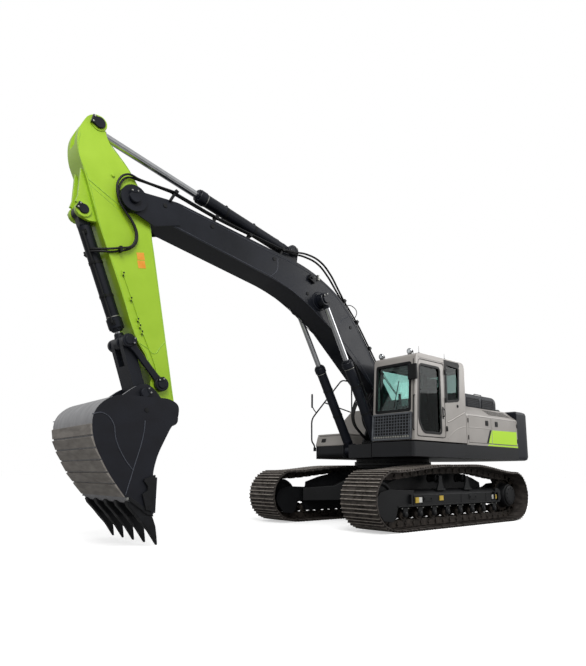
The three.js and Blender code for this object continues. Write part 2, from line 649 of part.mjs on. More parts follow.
function arm() {
  const side = outline([
    [-1010, 228, 30], [-823, 198, 120], [-380, -105, 180], [150, -243, 160], [868, -232, 300],
    [2960, -163, 60], [3221, -165, 100], [3385, -60, 110], [3380, 90, 100], [3221, 165, 90],
    [2921, 105, 60], [2290, 158, 80], [2050, 268, 120], [1190, 398, 200], [372, 545, 200], [-250, 605, 150],
    [-640, 681, 150], [-940, 628, 120], [-1200, 440, 140], [-1240, 260, 120]]);
  const rodSlot = block([-1500, -780], [-88, 88], [-200, 1000]);
  const sideLinkBore = crossBar(SIDE_LINK_PIN, 52, [-300, 300], 20);
  const lug = outline([[-160, 560], [345, 500], [335, 640], [285, 750, 80], [180, 825, 80], [60, 745, 80]]);
  const parts = [
    plate(side, [-ARM_HALF, ARM_HALF], 5).subtract(rodSlot),
    crossBar([0, 0], BOSS, [-ARM_HALF, ARM_HALF], 20),
  ];
  [1, -1].forEach((s) => {
    parts.push(crossBar(ARM_CYLINDER_PIN, 70, span(s, ARM_HALF - 10, ARM_HALF + 30), 16));
    parts.push(plate(lug, span(s, 86, 140)));
    parts.push(crossBar(BUCKET_CYLINDER_BASE, 112, span(s, 84, 160), 16));
  });
  return join(parts).subtract(sideLinkBore);
}

// side view of the bucket, from the bucket pin, with its wrap moved in by the wall's thickness
function bucketOutline(wall) {
  const mouth = wall ? -260 : 0;
  return outline([
    [100 + mouth, -60, 60], [205 + mouth, -195 - wall, 60], [375 + mouth, -560, 110], [425 + mouth, -790, 90],
    [400 + mouth, -1322 + wall], [475 - wall * 0.3, -1322 + wall * 1.5], [740 - wall, -1140, 60], [1010 - wall, -800, 160],
    [1235 - wall, -400, 230], [1270 - wall, -40 - wall * 0.6, 200], [1020 - wall * 0.6, 190 - wall, 250],
    [250 + mouth * 0.4, 200 - wall, 70], [90 + mouth, 130 - wall, 90]]);
}

function bucket() {
  const wall = 38;
  const cavity = plate(bucketOutline(wall), [-BUCKET_HALF + 32, BUCKET_HALF - 32], 6);
  const parts = [plate(bucketOutline(0), [-BUCKET_HALF, BUCKET_HALF], 6).subtract(cavity)];
  const pinRoom = block([-600, 290], [-715, 715], [-330, 400])
    .add(block([-600, 700], [-219, 219], [-125, 480]));
  let shell = join(parts).subtract(pinRoom);
  const ear = outline([[-150, -90, 80], [60, -170, 90], [330, -150], [800, 180], [540, 390, 110],
    [400, 455, 90], [270, 400, 100], [60, 170, 80], [-120, 130, 90]]);
  const more = [];
  [1, -1].forEach((s) => {
    more.push(plate(ear, span(s, 250, 300)));
    more.push(crossBar([0, 0], 78, span(s, 295, 335), 16));
    more.push(crossBar(BUCKET_LINK_PIN, 72, span(s, 295, 335), 16));
    more.push(block([372, 432], span(s, BUCKET_HALF - 5, BUCKET_HALF + 22), [-1300, -850]));
  });
  more.push(block([255, 345], [-BUCKET_HALF + 10, BUCKET_HALF - 10], [-190, 150]));
  more.push(plate(outline([[380, -1310], [470, -1330], [560, -1235], [470, -1210]]), [-BUCKET_HALF, BUCKET_HALF]));
  const tooth = outline([[745, -1190], [560, -1395], [310, -1690], [288, -1685], [330, -1500], [395, -1290], [470, -1180], [640, -1080]]);
  for (let i = -2; i <= 2; i += 1) {
    const y = i * 345;
    more.push(plate(tooth, [y - 45, y + 45]));
  }
  return join([shell, ...more]);
}

// two plates beside the arm, joined by the pin that turns in the arm's bore
function sideLink() {
  const length = distanceOf(SIDE_LINK_PIN, LINK_PIN);
  const shape = outline([[-95, -60, 60], [60, -100, 60], [length - 60, -72, 50], [length + 95, -60, 60],
    [length + 95, 60, 60], [length - 60, 72, 50], [60, 100, 60], [-95, 60, 60]]);
  return join([
    bothSides((s) => plate(shape, span(s, 208, 256))),
    bothSides((s) => crossBar([0, 0], 82, span(s, 208, 282), 16)),
    bothSides((s) => crossBar([length, 0], 82, span(s, 208, 282), 16)),
    crossBar([0, 0], 44, [-240, 240], 16),
  ]);
}

// the wide link from the cylinder's rod eye down to the bucket
function hLink() {
  const length = distanceOf(LINK_PIN, [ARM_LENGTH + localLink[0], localLink[1]]);
  const web = outline([[0, -82, 40], [length, -82, 70], [length + 90, -60, 60], [length + 90, 60, 60],
    [length, 82, 70], [0, 82, 40], [-88, 50, 50], [-88, -50, 50]]);
  return join([
    plate(web, [-200, 200]).subtract(block([length - 330, length + 200], [-90, 90], [-200, 200])),
    crossBar([0, 0], 88, [-216, 216], 20),
  ]);
}

// a hydraulic barrel along +X from its base eye, bored for the rod
function barrel({ length, radius, eye, eyeHalf, rod }) {
  return join([
    crossBar([0, 0], eye, [-eyeHalf, eyeHalf], 16),
    plate(outline([[0, -eyeHalf], [radius + 95, -eyeHalf], [radius + 95, eyeHalf], [0, eyeHalf]]),
      [-eyeHalf + 4, eyeHalf - 4]),
    lengthBar([radius + 90, length], radius, 16),
    lengthBar([length - 150, length], radius + 16, 16),
  ]).subtract(lengthBar([eye + 35, length + 20], rod + 3, 12));
}

// a piston rod along +X, its rod eye at the far end and its origin at the barrel's base eye
function pistonRod({ reach, stored, radius, eye, eyeHalf }) {
  return join([
    lengthBar([reach - stored, reach - eye + 20], radius, 12),
    crossBar([reach, 0], eye, [-eyeHalf, eyeHalf], 16),
  ]);
}

// ---------- the assembly ----------
const localLink = (() => {
  const dx = BUCKET_LINK_PIN[0];
  const dz = BUCKET_LINK_PIN[1];
  return [dx * Math.cos(ARM_ANGLE) + dz * Math.sin(ARM_ANGLE),
    -dx * Math.sin(ARM_ANGLE) + dz * Math.cos(ARM_ANGLE)];
})();

function undercarriage() {
  const sides = [['left', 1], ['right', -1]].flatMap(([name, side]) => [
    node(`${name}_track_frame`, trackFrame(side), frameBlack()),
    node(`${name}_track`, track(side), trackSteel()),
    node(`${name}_idler`, idler(side), frameBlack()),
    node(`${name}_sprocket`, sprocket(side), frameBlack()),
  ]);
  return [
    node('center_frame', centerFrame(), frameBlack()),
    node('slew_ring', slewRing(), frameBlack()),
    ...sides,
  ];
}

function house() {
  return [
    node('deck_frame', deckFrame(), charcoal()),
    node('counterweight', counterweight(), charcoal()),
    node('left_body', leftBody(), silver()),
    node('left_front_door', sideDoor([LEFT_DOORS.middle + 15, LEFT_DOORS.front], 1), silver()),
    node('left_rear_door', sideDoor([LEFT_DOORS.rear, LEFT_DOORS.middle - 15], 1), silver()),
    node('right_body', rightBody(), silver()),
    node('right_side_door', sideDoor([PUMP_BAY.doorRear, PUMP_BAY.doorFront], -1), silver()),
    node('fuel_tank', tank([-780, -20]), silver()),
    node('hydraulic_tank', tank([-1525, -786]), silver()),
    node('fire_wall', fireWall(), charcoal()),
    node('engine_block', engineBlock(), frameBlack()),
    node('engine_hood', engineHood(), charcoal()),
    node('tool_box', toolBox(), silver()),
    node('tool_box_lid', toolBoxLid(), silver()),
    node('right_handrail', rightHandrail(), blackPlastic()),
    node('exhaust_pipe', exhaustPipe(), blackPlastic()),
    node('cab_shell', cabShell(), silver()),
    node('cab_door', cabDoor(), silver()),
    node('door_glass', doorGlass(), tintedGlass()),
    node('quarter_glass', quarterGlass(), tintedGlass()),
    node('windscreen', windscreen(), tintedGlass()),
    node('right_glass', rightGlass(), tintedGlass()),
    node('rear_glass', rearGlass(), tintedGlass()),
    node('windscreen_guard', windscreenGuard(), blackPlastic()),
    node('operator_seat', operatorSeat(), blackPlastic()),
    node('control_console', controlConsole(), blackPlastic()),
    node('cab_mirror', cabMirror(), blackPlastic()),
  ];
}

// barrel and rod of one cylinder, turned to point from its base pin to its rod pin
function cylinder(prefix, base, pin, size, y = 0) {
  const reach = distanceOf(base, pin);
  const barrelNode = node(prefix, barrel({ ...size, rod: size.rodRadius }), charcoal());
  const rodNode = node(`${prefix}_rod`, pistonRod({ ...size, reach, radius: size.rodRadius }), chromeRod());
  const group = turned(base, angleOf(base, pin), [barrelNode, rodNode]);
  group.position.y = y;
  return group;
}

function frontWork() {
  const boomCylinder = { length: 1900, radius: 95, eye: 125, eyeHalf: 70, rodRadius: 52, stored: 2060 };
  const armCylinder = { length: 2060, radius: 105, eye: 112, eyeHalf: 78, rodRadius: 58, stored: 2120 };
  const bucketCylinder = { length: 1580, radius: 93, eye: 100, eyeHalf: 78, rodRadius: 50, stored: 1710 };
  const sideLinkPin = onArm(SIDE_LINK_PIN);
  const linkPin = onArm(LINK_PIN);
  return [
    turned(BOOM_FOOT, BOOM_ANGLE, [node('boom', boom(), charcoal())]),
    turned(ARM_PIN, ARM_ANGLE, [node('arm', arm(), lime())]),
    turned(BUCKET_PIN, 0, [node('bucket', bucket(), charcoal())]),
    turned(sideLinkPin, angleOf(sideLinkPin, linkPin), [node('side_link', sideLink(), charcoal())]),
    turned(bucketLinkPin, angleOf(bucketLinkPin, linkPin), [node('h_link', hLink(), charcoal())]),
    cylinder('left_boom_cylinder', BOOM_CYLINDER_BASE, onBoom(BOOM_CYLINDER_PIN), boomCylinder, BOOM_CYLINDER_Y),
    cylinder('right_boom_cylinder', BOOM_CYLINDER_BASE, onBoom(BOOM_CYLINDER_PIN), boomCylinder, -BOOM_CYLINDER_Y),
    cylinder('arm_cylinder', onBoom(ARM_CYLINDER_BASE), onArm(ARM_CYLINDER_PIN), armCylinder),
    cylinder('bucket_cylinder', onArm(BUCKET_CYLINDER_BASE), linkPin, bucketCylinder),
  ];
}

const excavator = new THREE.Group();
excavator.position.x = -BOX_MIDDLE_X;
excavator.add(...undercarriage(), ...house(), ...frontWork());

export default excavator;
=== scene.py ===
# %% [markdown]
# # A crawler excavator of the 36 tonne class
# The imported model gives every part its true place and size. This script dresses it: the big steel
# parts are copied from the frame and get rounded edges, the tracks are rebuilt shoe by shoe, and
# hoses, pipes, louvres, lamps, bolts and cab fittings are modelled onto the bodies that carry them.
# Everything is in metres, with +X forwards, +Y to the machine's left and +Z up.

# %% Load the frame
import json
from math import copysign, cos, hypot, pi, radians, sin, tau

import bpy
from mathutils import Euler, Matrix, Vector


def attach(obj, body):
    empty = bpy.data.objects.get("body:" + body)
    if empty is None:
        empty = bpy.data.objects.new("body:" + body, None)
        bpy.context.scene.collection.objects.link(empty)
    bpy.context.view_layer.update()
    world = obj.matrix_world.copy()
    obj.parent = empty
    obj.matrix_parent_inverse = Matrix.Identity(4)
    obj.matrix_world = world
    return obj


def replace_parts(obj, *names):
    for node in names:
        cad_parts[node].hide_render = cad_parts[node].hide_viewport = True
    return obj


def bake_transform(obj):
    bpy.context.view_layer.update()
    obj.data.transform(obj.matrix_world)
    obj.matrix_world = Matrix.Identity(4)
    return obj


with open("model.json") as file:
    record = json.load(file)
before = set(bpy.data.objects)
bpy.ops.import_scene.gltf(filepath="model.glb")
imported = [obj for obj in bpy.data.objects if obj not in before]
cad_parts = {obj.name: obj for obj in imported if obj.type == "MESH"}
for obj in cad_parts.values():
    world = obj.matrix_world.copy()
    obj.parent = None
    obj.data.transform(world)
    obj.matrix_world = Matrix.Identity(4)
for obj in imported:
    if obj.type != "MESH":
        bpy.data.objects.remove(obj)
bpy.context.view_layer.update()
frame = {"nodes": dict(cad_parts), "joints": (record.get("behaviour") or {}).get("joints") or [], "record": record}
JOINTS = {joint["name"]: joint for joint in frame["joints"]}

# %% [markdown]
# ## Frames of the digging front
# The boom and the arm are described along their own centre lines: u runs from one pin to the next
# and v stands square to it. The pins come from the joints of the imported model, so a bracket that is
# placed on the boom stays on the boom even if its angle changes.

# %% Pins and the frames between them
def pin_of(joint):
    """The side-view place of a joint's pin."""
    x, _, z = JOINTS[joint]["pos_m"]
    return Vector((x, z))


BOOM_FOOT, ARM_PIN, BUCKET_PIN = pin_of("boom_lift"), pin_of("arm_swing"), pin_of("bucket_curl")
BOOM_LENGTH = (ARM_PIN - BOOM_FOOT).length
ARM_LENGTH = (BUCKET_PIN - ARM_PIN).length
SLEW_X = JOINTS["slew"]["pos_m"][0]


def heading(along):
    """Turns +X to a direction of the side view."""
    return Matrix(((along.x, 0, -along.y), (0, 1, 0), (along.y, 0, along.x))).to_4x4()


def side_frame(start, towards):
    """A matrix that takes (u, y, v) along a line of the side view to machine coordinates."""
    return Matrix.Translation((start.x, 0, start.y)) @ heading((towards - start).normalized())


ON_BOOM = side_frame(BOOM_FOOT, ARM_PIN)
ON_ARM = side_frame(ARM_PIN, BUCKET_PIN)
ON_BUCKET = Matrix.Translation((BUCKET_PIN.x, 0, BUCKET_PIN.y))
MACHINE = Matrix.Translation((SLEW_X, 0, 0))
# what sits on any other body is drawn from the slew axis, on the ground
PLACE_OF = {"boom": ON_BOOM, "arm": ON_ARM, "bucket": ON_BUCKET}
print("boom", round(BOOM_LENGTH, 3), "m, arm", round(ARM_LENGTH, 3), "m between pins")

# %% [markdown]
# ## Camera and light
# The camera stands low at the front left of the machine with a short lens, so the bucket looms
# over the cab. The light is a plain bright studio: a pale world, one large soft key and a fill.

# %% Camera
CAMERA_PLACE = Vector((9.0245 + SLEW_X, 7.3917, 0.9519))
CAMERA_HEADING = radians(-131.89)
CAMERA_PITCH = radians(10.15)
CAMERA_ROLL = radians(0.35)
look = Vector((cos(CAMERA_PITCH) * cos(CAMERA_HEADING), cos(CAMERA_PITCH) * sin(CAMERA_HEADING),
    sin(CAMERA_PITCH)))
camera_data = bpy.data.cameras.new("camera")
camera_data.lens = 29.04
camera_data.shift_x = -0.0239
camera_data.shift_y = 0.066
camera = bpy.data.objects.new("camera", camera_data)
bpy.context.collection.objects.link(camera)
camera.location = CAMERA_PLACE
camera.rotation_mode = "QUATERNION"
camera.rotation_quaternion = look.to_track_quat("-Z", "Y") @ Euler((0, 0, CAMERA_ROLL)).to_quaternion()
bpy.context.scene.camera = camera
print("camera", round((CAMERA_PLACE - Vector((0, 0, 2))).length, 2), "m from the machine's middle")

# %% [markdown]
# ## Small helpers
# Everything below is modelled with the same few moves: add a primitive, shape it in edit mode, put
# it in place, hand it to the body that carries it. Operators act on whatever is selected, so each
# helper first clears the selection.

# %% Selecting and moving
def clear_selection():
    """Deselects everything, as an operator acts on all that is selected."""
    bpy.ops.object.select_all(action="DESELECT")


def alone(obj):
    """Makes obj the only selected and the active object."""
    clear_selection()
    obj.select_set(True)
    bpy.context.view_layer.objects.active = obj
    return obj


def settle(obj):
    """Puts an object's place, turn and size into its mesh."""
    alone(obj)
    bpy.ops.object.transform_apply(location=True, rotation=True, scale=True)
    return obj


def moved(obj, matrix):
    """Moves a settled mesh by a matrix."""
    obj.data.transform(matrix)
    if matrix.determinant() < 0:
        obj.data.flip_normals()
    return obj


def select_parts(obj, kind, wanted):
    """Selects the faces, edges or vertices of obj that wanted(middle, direction) asks for."""
    alone(obj)
    bpy.context.tool_settings.mesh_select_mode = (kind == "VERT", kind == "EDGE", kind == "FACE")
    bpy.ops.object.mode_set(mode="EDIT")
    bpy.ops.mesh.select_all(action="DESELECT")
    bpy.ops.object.mode_set(mode="OBJECT")
    mesh = obj.data
    places = [vertex.co for vertex in mesh.vertices]
    if kind == "FACE":
        for face in mesh.polygons:
            face.select = wanted(face.center, face.normal)
    elif kind == "EDGE":
        for edge in mesh.edges:
            a, b = (places[i] for i in edge.vertices)
            edge.select = wanted((a + b) / 2, (b - a).normalized())
    else:
        for vertex in mesh.vertices:
            vertex.select = wanted(vertex.co, vertex.normal)
    bpy.ops.object.mode_set(mode="EDIT")

# %% Edit mode in and out
def edit_all():
    """Goes into edit mode with everything selected."""
    bpy.ops.object.mode_set(mode="EDIT")
    bpy.ops.mesh.select_all(action="SELECT")


def leave_edit():
    bpy.ops.object.mode_set(mode="OBJECT")

# %% Modifiers and joining
def with_modifier(obj, kind, **settings):
    """Adds a modifier, applies it and returns the object."""
    alone(obj)
    modifier = obj.modifiers.new(kind.lower(), kind)
    for name, value in settings.items():
        setattr(modifier, name, value)
    bpy.ops.object.modifier_apply(modifier=modifier.name)
    return obj


def softened(obj, width, segments=2, angle=35):
    """Rounds every edge sharper than the angle."""
    return with_modifier(obj, "BEVEL", width=width, segments=segments, limit_method="ANGLE",
        angle_limit=radians(angle), harden_normals=False)


def joined(parts, name):
    """Joins several objects into one of the given name."""
    clear_selection()
    for part in parts:
        part.select_set(True)
    bpy.context.view_layer.objects.active = parts[0]
    if len(parts) > 1:
        bpy.ops.object.join()
    parts[0].name = name
    return parts[0]

# %% Copies, and the finish they get
def twin_of(obj):
    """A copy of an object with its own mesh."""
    twin = obj.copy()
    twin.data = obj.data.copy()
    bpy.context.collection.objects.link(twin)
    return twin


def copies(source, matrices, name):
    """One mesh that holds a copy of a small source at each matrix. The source is used up."""
    made = [moved(twin_of(source), matrix) for matrix in matrices]
    bpy.data.objects.remove(source)
    return joined(made, name)


def give(obj, body, material, smooth=35):
    """Finishes a piece: shading, material and body."""
    alone(obj)
    bpy.ops.object.shade_smooth_by_angle(angle=radians(smooth))
    if smooth < 50:
        with_modifier(obj, "WEIGHTED_NORMAL", mode="FACE_AREA", weight=50, keep_sharp=True)
    if material is not None:
        obj.data.materials.clear()
        obj.data.materials.append(material)
    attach(obj, body)
    return obj


def mirrored(obj, name):
    """The same piece on the machine's other side."""
    twin = moved(twin_of(obj), Matrix.Scale(-1, 4, (0, 1, 0)))
    twin.name = name
    return twin


# %% Blocks and bars
def block(low, high, bevel=0.004, segments=2):
    """A box between any two opposite corners, with rounded edges."""
    low, high = (Vector(map(pick, low, high)) for pick in (min, max))
    clear_selection()
    bpy.ops.mesh.primitive_cube_add(size=1, location=(low + high) / 2, scale=high - low)
    made = settle(bpy.context.object)
    if bevel:
        edit_all()
        bpy.ops.mesh.bevel(offset=bevel, segments=segments, affect="EDGES")
        leave_edit()
    return made


def bar(start, end, radius, sides=24, bevel=0.003, top_radius=None):
    """A round bar from one point to another, its rims rounded; top_radius makes it a taper."""
    start, end = Vector(start), Vector(end)
    along = end - start
    clear_selection()
    bpy.ops.mesh.primitive_cone_add(vertices=sides, radius1=radius, radius2=radius if top_radius is None
        else top_radius, depth=along.length, location=(start + end) / 2,
        rotation=along.to_track_quat("Z", "Y").to_euler())
    made = settle(bpy.context.object)
    if bevel:
        softened(made, bevel, 2, 50)
    return made

# %% Plates drawn by their outline
def outlined(points, y, round_by):
    """A face drawn point by point in side view (x, z), its corners rounded, left open in edit mode."""
    clear_selection()
    bpy.ops.mesh.primitive_circle_add(vertices=len(points), radius=1, fill_type="NGON")
    made = bpy.context.object
    for vertex, (x, z) in zip(made.data.vertices, points):
        vertex.co = (x, y, z)
    edit_all()
    if round_by:
        bpy.ops.mesh.bevel(offset=round_by, segments=6, affect="VERTICES")
        bpy.ops.mesh.select_all(action="SELECT")
    return made


def facing_out():
    """Turns all faces outwards and leaves edit mode."""
    bpy.ops.mesh.select_all(action="SELECT")
    bpy.ops.mesh.normals_make_consistent(inside=False)
    leave_edit()


def drawn(points, y0, y1, bevel=0.0, round_by=0.0):
    """A plate drawn point by point in side view (x, z), filled and extruded from y0 to y1."""
    made = outlined(points, y0, round_by)
    bpy.ops.mesh.extrude_region_move(TRANSFORM_OT_translate={"value": (0, y1 - y0, 0)})
    facing_out()
    if bevel:
        softened(made, bevel, 2, 50)
    return made

# %% A bolt, and how it is turned
def hex_bolt(size, height):
    """A hexagon bolt head that stands on z = 0, with its top drawn in to a chamfer."""
    clear_selection()
    bpy.ops.mesh.primitive_cylinder_add(vertices=6, radius=size, depth=height, location=(0, 0, height / 2))
    made = settle(bpy.context.object)
    select_parts(made, "FACE", lambda middle, normal: normal.z > 0.9)
    bpy.ops.mesh.inset(thickness=size * 0.2, depth=height * 0.12)
    leave_edit()
    return made


def looking(place, towards):
    """A matrix that stands a part made along +Z at a place, pointing towards a direction."""
    return Matrix.Translation(place) @ Vector(towards).to_track_quat("Z", "Y").to_matrix().to_4x4()

# %% Pipes and hoses
def tube(kind, points, radius, sides, steps=8):
    """A curve of one kind through the points, given its thickness and made a mesh."""
    data = bpy.data.curves.new("tube", "CURVE")
    data.dimensions = "3D"
    data.bevel_depth = radius
    data.bevel_resolution = max(0, sides // 4 - 1)
    data.use_fill_caps = True
    data.resolution_u = steps
    spline = data.splines.new(kind)
    knots = spline.bezier_points if kind == "BEZIER" else spline.points
    knots.add(len(points) - 1)
    for knot, place in zip(knots, points):
        if kind == "BEZIER":
            knot.co = place
            knot.handle_left_type = knot.handle_right_type = "AUTO"
        else:
            knot.co = (*place, 1)
    made = bpy.data.objects.new("tube", data)
    bpy.context.collection.objects.link(made)
    alone(made)
    bpy.ops.object.convert(target="MESH")
    return bpy.context.object


def hose(points, radius, sides=12, steps=8):
    """A hose or bead: one smooth curve through the points."""
    return tube("BEZIER", points, radius, sides, steps)

# %% A copy of a frame's node
def cad_copy(node, name, merge=0.0002):
    """A copy of a CAD node with its loose triangles merged and its flat faces made whole."""
    source = frame["nodes"][node]
    twin = bpy.data.objects.new(name, source.data.copy())
    bpy.context.collection.objects.link(twin)
    alone(twin)
    edit_all()
    bpy.ops.mesh.remove_doubles(threshold=merge)
    bpy.ops.mesh.dissolve_limited(angle_limit=radians(1.5))
    leave_edit()
    return twin


print("helpers ready")

# %% [markdown]
# ## Finishes
# A finish is a Principled shader with a few nodes that give it what the eye expects: paint varies a
# little in tone over a hand's width and has a faint orange peel, bare steel is streaked where soil
# has slid along it, rubber is even and dull. Every pattern reads Object coordinates, which are
# metres here, so its scale is a real size: a noise scale of 5 repeats about every 200 mm.

# %% Colour and node helpers
def srgb(code):
    """A colour written as sRGB hex, turned into linear light."""
    parts = [int(code[i:i + 2], 16) / 255 for i in (1, 3, 5)]
    return [v / 12.92 if v <= 0.04045 else ((v + 0.055) / 1.055) ** 2.4 for v in parts] + [1]


def add_node(material, kind, inputs=None, **settings):
    """Adds a node to a material or world. An input is a plain value or another node's output."""
    node = material.node_tree.nodes.new(kind)
    for name, value in settings.items():
        setattr(node, name, value)
    for name, value in (inputs or {}).items():
        if isinstance(value, bpy.types.NodeSocket):
            material.node_tree.links.new(value, node.inputs[name])
        else:
            node.inputs[name].default_value = value
    return node


def new_material(name, **sockets):
    """A material whose Principled shader has the given socket values."""
    material = bpy.data.materials.new(name)
    material.use_nodes = True
    shader = material.node_tree.nodes["Principled BSDF"]
    for socket, value in sockets.items():
        shader.inputs[socket.replace("_", " ")].default_value = value
    return material, shader


def patterned(material, shader, low, high, scale, stretch=(1, 1, 1), detail=6.0, limits=(0.35, 0.65)):
    """Colours a surface between two tones by a noise of so many repeats a metre."""
    place = add_node(material, "ShaderNodeTexCoord")
    mapped = add_node(material, "ShaderNodeMapping",
        {"Vector": place.outputs["Object"], "Scale": [scale * s for s in stretch]})
    noise = add_node(material, "ShaderNodeTexNoise", {"Vector": mapped.outputs["Vector"], "Scale": 1.0,
        "Detail": detail})
    ramp = add_node(material, "ShaderNodeValToRGB", {"Fac": noise.outputs["Fac"]})
    ramp.color_ramp.elements[0].position, ramp.color_ramp.elements[1].position = limits
    ramp.color_ramp.elements[0].color = srgb(low)
    ramp.color_ramp.elements[1].color = srgb(high)
    material.node_tree.links.new(ramp.outputs["Color"], shader.inputs["Base Color"])
    return mapped, noise


def roughened(material, shader, source, low, high):
    """Lets the roughness follow a pattern between two values."""
    spread = add_node(material, "ShaderNodeMapRange", {"Value": source, "From Min": 0.3, "From Max": 0.7,
        "To Min": low, "To Max": high})
    material.node_tree.links.new(spread.outputs["Result"], shader.inputs["Roughness"])


def bumped(material, shader, scale, height, distance=0.001, detail=3.0):
    """A fine noise as bump, of so many repeats a metre and a height in metres."""
    place = add_node(material, "ShaderNodeTexCoord")
    noise = add_node(material, "ShaderNodeTexNoise", {"Vector": place.outputs["Object"], "Scale": scale,
        "Detail": detail})
    bump = add_node(material, "ShaderNodeBump", {"Height": noise.outputs["Fac"], "Strength": height,
        "Distance": distance})
    material.node_tree.links.new(bump.outputs["Normal"], shader.inputs["Normal"])


# %% [markdown]
# ### Enamel paint
# Plates are shot blasted, primed and sprayed with two-pack enamel. It dries glossy with a slight
# orange peel, and on a machine this size the tone drifts a little from plate to plate. The paint
# is a dielectric, so its shine comes from a clear coat over a rough base.

# %% Enamels
def enamel(name, low, high, roughness, coat, peel=0.12, metallic=0.0, specular=0.5):
    """Sprayed two-pack paint: tone drifts over about 0.5 m, orange peel of about 4 mm."""
    material, shader = new_material(name, Coat_Weight=coat, Coat_Roughness=0.12, Metallic=metallic,
        Specular_IOR_Level=specular)
    _, noise = patterned(material, shader, low, high, 2.0, limits=(0.3, 0.7))
    roughened(material, shader, noise.outputs["Fac"], roughness - 0.05, roughness + 0.08)
    bumped(material, shader, 240.0, peel, distance=0.0006)
    return material


CHARCOAL = enamel("charcoal_enamel", "#10131A", "#1A1D26", 0.38, 0.06, specular=0.28)
LIME = enamel("lime_enamel", "#A1CA22", "#AED62D", 0.38, 0.3)
PANEL_LIME = enamel("lime_panel_film", "#BFF412", "#C8F922", 0.35, 0.3, peel=0.03)
SILVER = enamel("silver_enamel", "#A19C97", "#AEA9A4", 0.4, 0.3, metallic=0.15)
FRAME_BLACK = enamel("frame_enamel", "#0E0F11", "#17181A", 0.5, 0.0, peel=0.2, specular=0.3)
SKIRT = enamel("skirt_enamel", "#131417", "#1D1E22", 0.45, 0.04, specular=0.3)
print("enamels:", CHARCOAL.name, LIME.name, SILVER.name, FRAME_BLACK.name, SKIRT.name)

# %% [markdown]
# ### Steel that works in soil
# The bucket's wrap and the track shoes are rolled steel whose thin paint is soon gone. Soil leaves
# brown in the hollows and polishes what stands proud, so the colour swings between a brown and a
# grey, streaked along the way the soil slides.

# %% Worn steels
def worn_steel(name, low, high, stretch, metallic, roughness, scale=7.0):
    """Bare or nearly bare plate, streaked along one direction and lightly pitted."""
    material, shader = new_material(name, Metallic=metallic, Specular_IOR_Level=0.3)
    _, noise = patterned(material, shader, low, high, scale, stretch, detail=9.0, limits=(0.32, 0.68))
    roughened(material, shader, noise.outputs["Fac"], roughness + 0.1, roughness - 0.12)
    bumped(material, shader, 90.0, 0.35, distance=0.0015)
    return material


WRAP_STEEL = worn_steel("bucket_wrap_steel", "#8F8F91", "#9C9C9E", (0.6, 1.6, 0.6), 0.15, 0.5)
WEAR_STRIP = worn_steel("wear_strip_steel", "#7F7A75", "#9A948D", (2.0, 0.5, 2.0), 0.12, 0.55)
BUCKET_PLATE = worn_steel("bucket_side_enamel", "#111219", "#1B1D25", (1.0, 1.0, 1.4), 0.0, 0.5, 3.0)
TOOTH_STEEL = worn_steel("cast_tooth_enamel", "#0E0F11", "#1A1B1E", (2.0, 2.0, 2.0), 0.0, 0.5)
SHOE_STEEL = worn_steel("track_shoe_steel", "#35312E", "#5A5450", (1.5, 1.0, 1.5), 0.3, 0.58)
GROUSER_STEEL = worn_steel("polished_grouser_steel", "#8B837B", "#B7AFA7", (1.0, 2.5, 1.0), 0.5, 0.42)
CHAIN_STEEL = worn_steel("forged_chain_steel", "#2C2825", "#463F39", (2.0, 2.0, 2.0), 0.4, 0.6)
print("steels:", WRAP_STEEL.name, SHOE_STEEL.name, GROUSER_STEEL.name)

# %% [markdown]
# ### Smaller finishes
# Piston rods are ground and hard chromed, fittings are zinc plated, hoses are black rubber with a
# cloth-wrapped skin, trim is moulded or powder coated, the cab's panes are green tinted safety
# glass, and the seat has a coarse woven cover.

# %% Chrome, zinc, rubber, plastic and glass
def plain(name, low, high, roughness, metallic=0.0, scale=12.0, grain=200.0, height=0.15, **sockets):
    """A small-part finish: two close tones and a fine grain."""
    material, shader = new_material(name, Metallic=metallic, **sockets)
    _, noise = patterned(material, shader, low, high, scale)
    roughened(material, shader, noise.outputs["Fac"], max(0.03, roughness - 0.05), roughness + 0.06)
    bumped(material, shader, grain, height, distance=0.0008)
    return material


CHROME = plain("hard_chrome", "#C9CBCE", "#DADBDD", 0.13, 1.0, height=0.03)
ZINC = plain("zinc_plate", "#9B9C98", "#B6B6B0", 0.38, 0.9)
RUBBER = plain("wrapped_rubber_hose", "#0D0D0E", "#161618", 0.5, grain=420.0, height=0.4,
    Specular_IOR_Level=0.35)
PLASTIC = plain("moulded_black_plastic", "#0B0C0D", "#141517", 0.48, grain=500.0, height=0.25,
    Specular_IOR_Level=0.3)
POWDER = plain("black_powder_coat", "#0F1011", "#18191B", 0.55, grain=350.0, height=0.35,
    Specular_IOR_Level=0.3)
GRATING = plain("grey_galvanised_grating", "#54575C", "#666A70", 0.5, 0.3)
LAMP_RIM = plain("lamp_chrome", "#B9BBBE", "#D0D2D4", 0.2, 1.0, height=0.02)
LENS = plain("lamp_lens", "#C9D0D4", "#DEE3E5", 0.12, Coat_Weight=1.0, grain=60.0, height=0.5)
MIRROR_GLASS = plain("mirror_glass", "#AEB6BA", "#B8C0C4", 0.04, 1.0, height=0.01)
YELLOW_TAG = plain("yellow_zinc_tag", "#C9A93A", "#D8BC52", 0.45)
WHITE_TAG = plain("white_enamel_tag", "#D8D8D4", "#E4E4E0", 0.45)
ORANGE_TAG = plain("orange_enamel_plate", "#EE9A28", "#F4A83C", 0.42)
# weld beads are painted like their plates but in a lighter tone: a painted highlight along each seam
WELD_HIGHLIGHT = plain("weld_bead_painted_highlight", "#3A3D46", "#4C4F59", 0.5, scale=60.0, grain=120.0, height=0.8)
LIME_WELD_HIGHLIGHT = plain("lime_weld_painted_highlight", "#9CC93A", "#B0DA55", 0.45, scale=60.0, grain=120.0, height=0.8)
# a near-black finish for places that hold only shade: painted shade in the louvre slits and behind the grille
PAINTED_SHADE = plain("painted_shade_dark", "#0D0D0E", "#131315", 0.8)


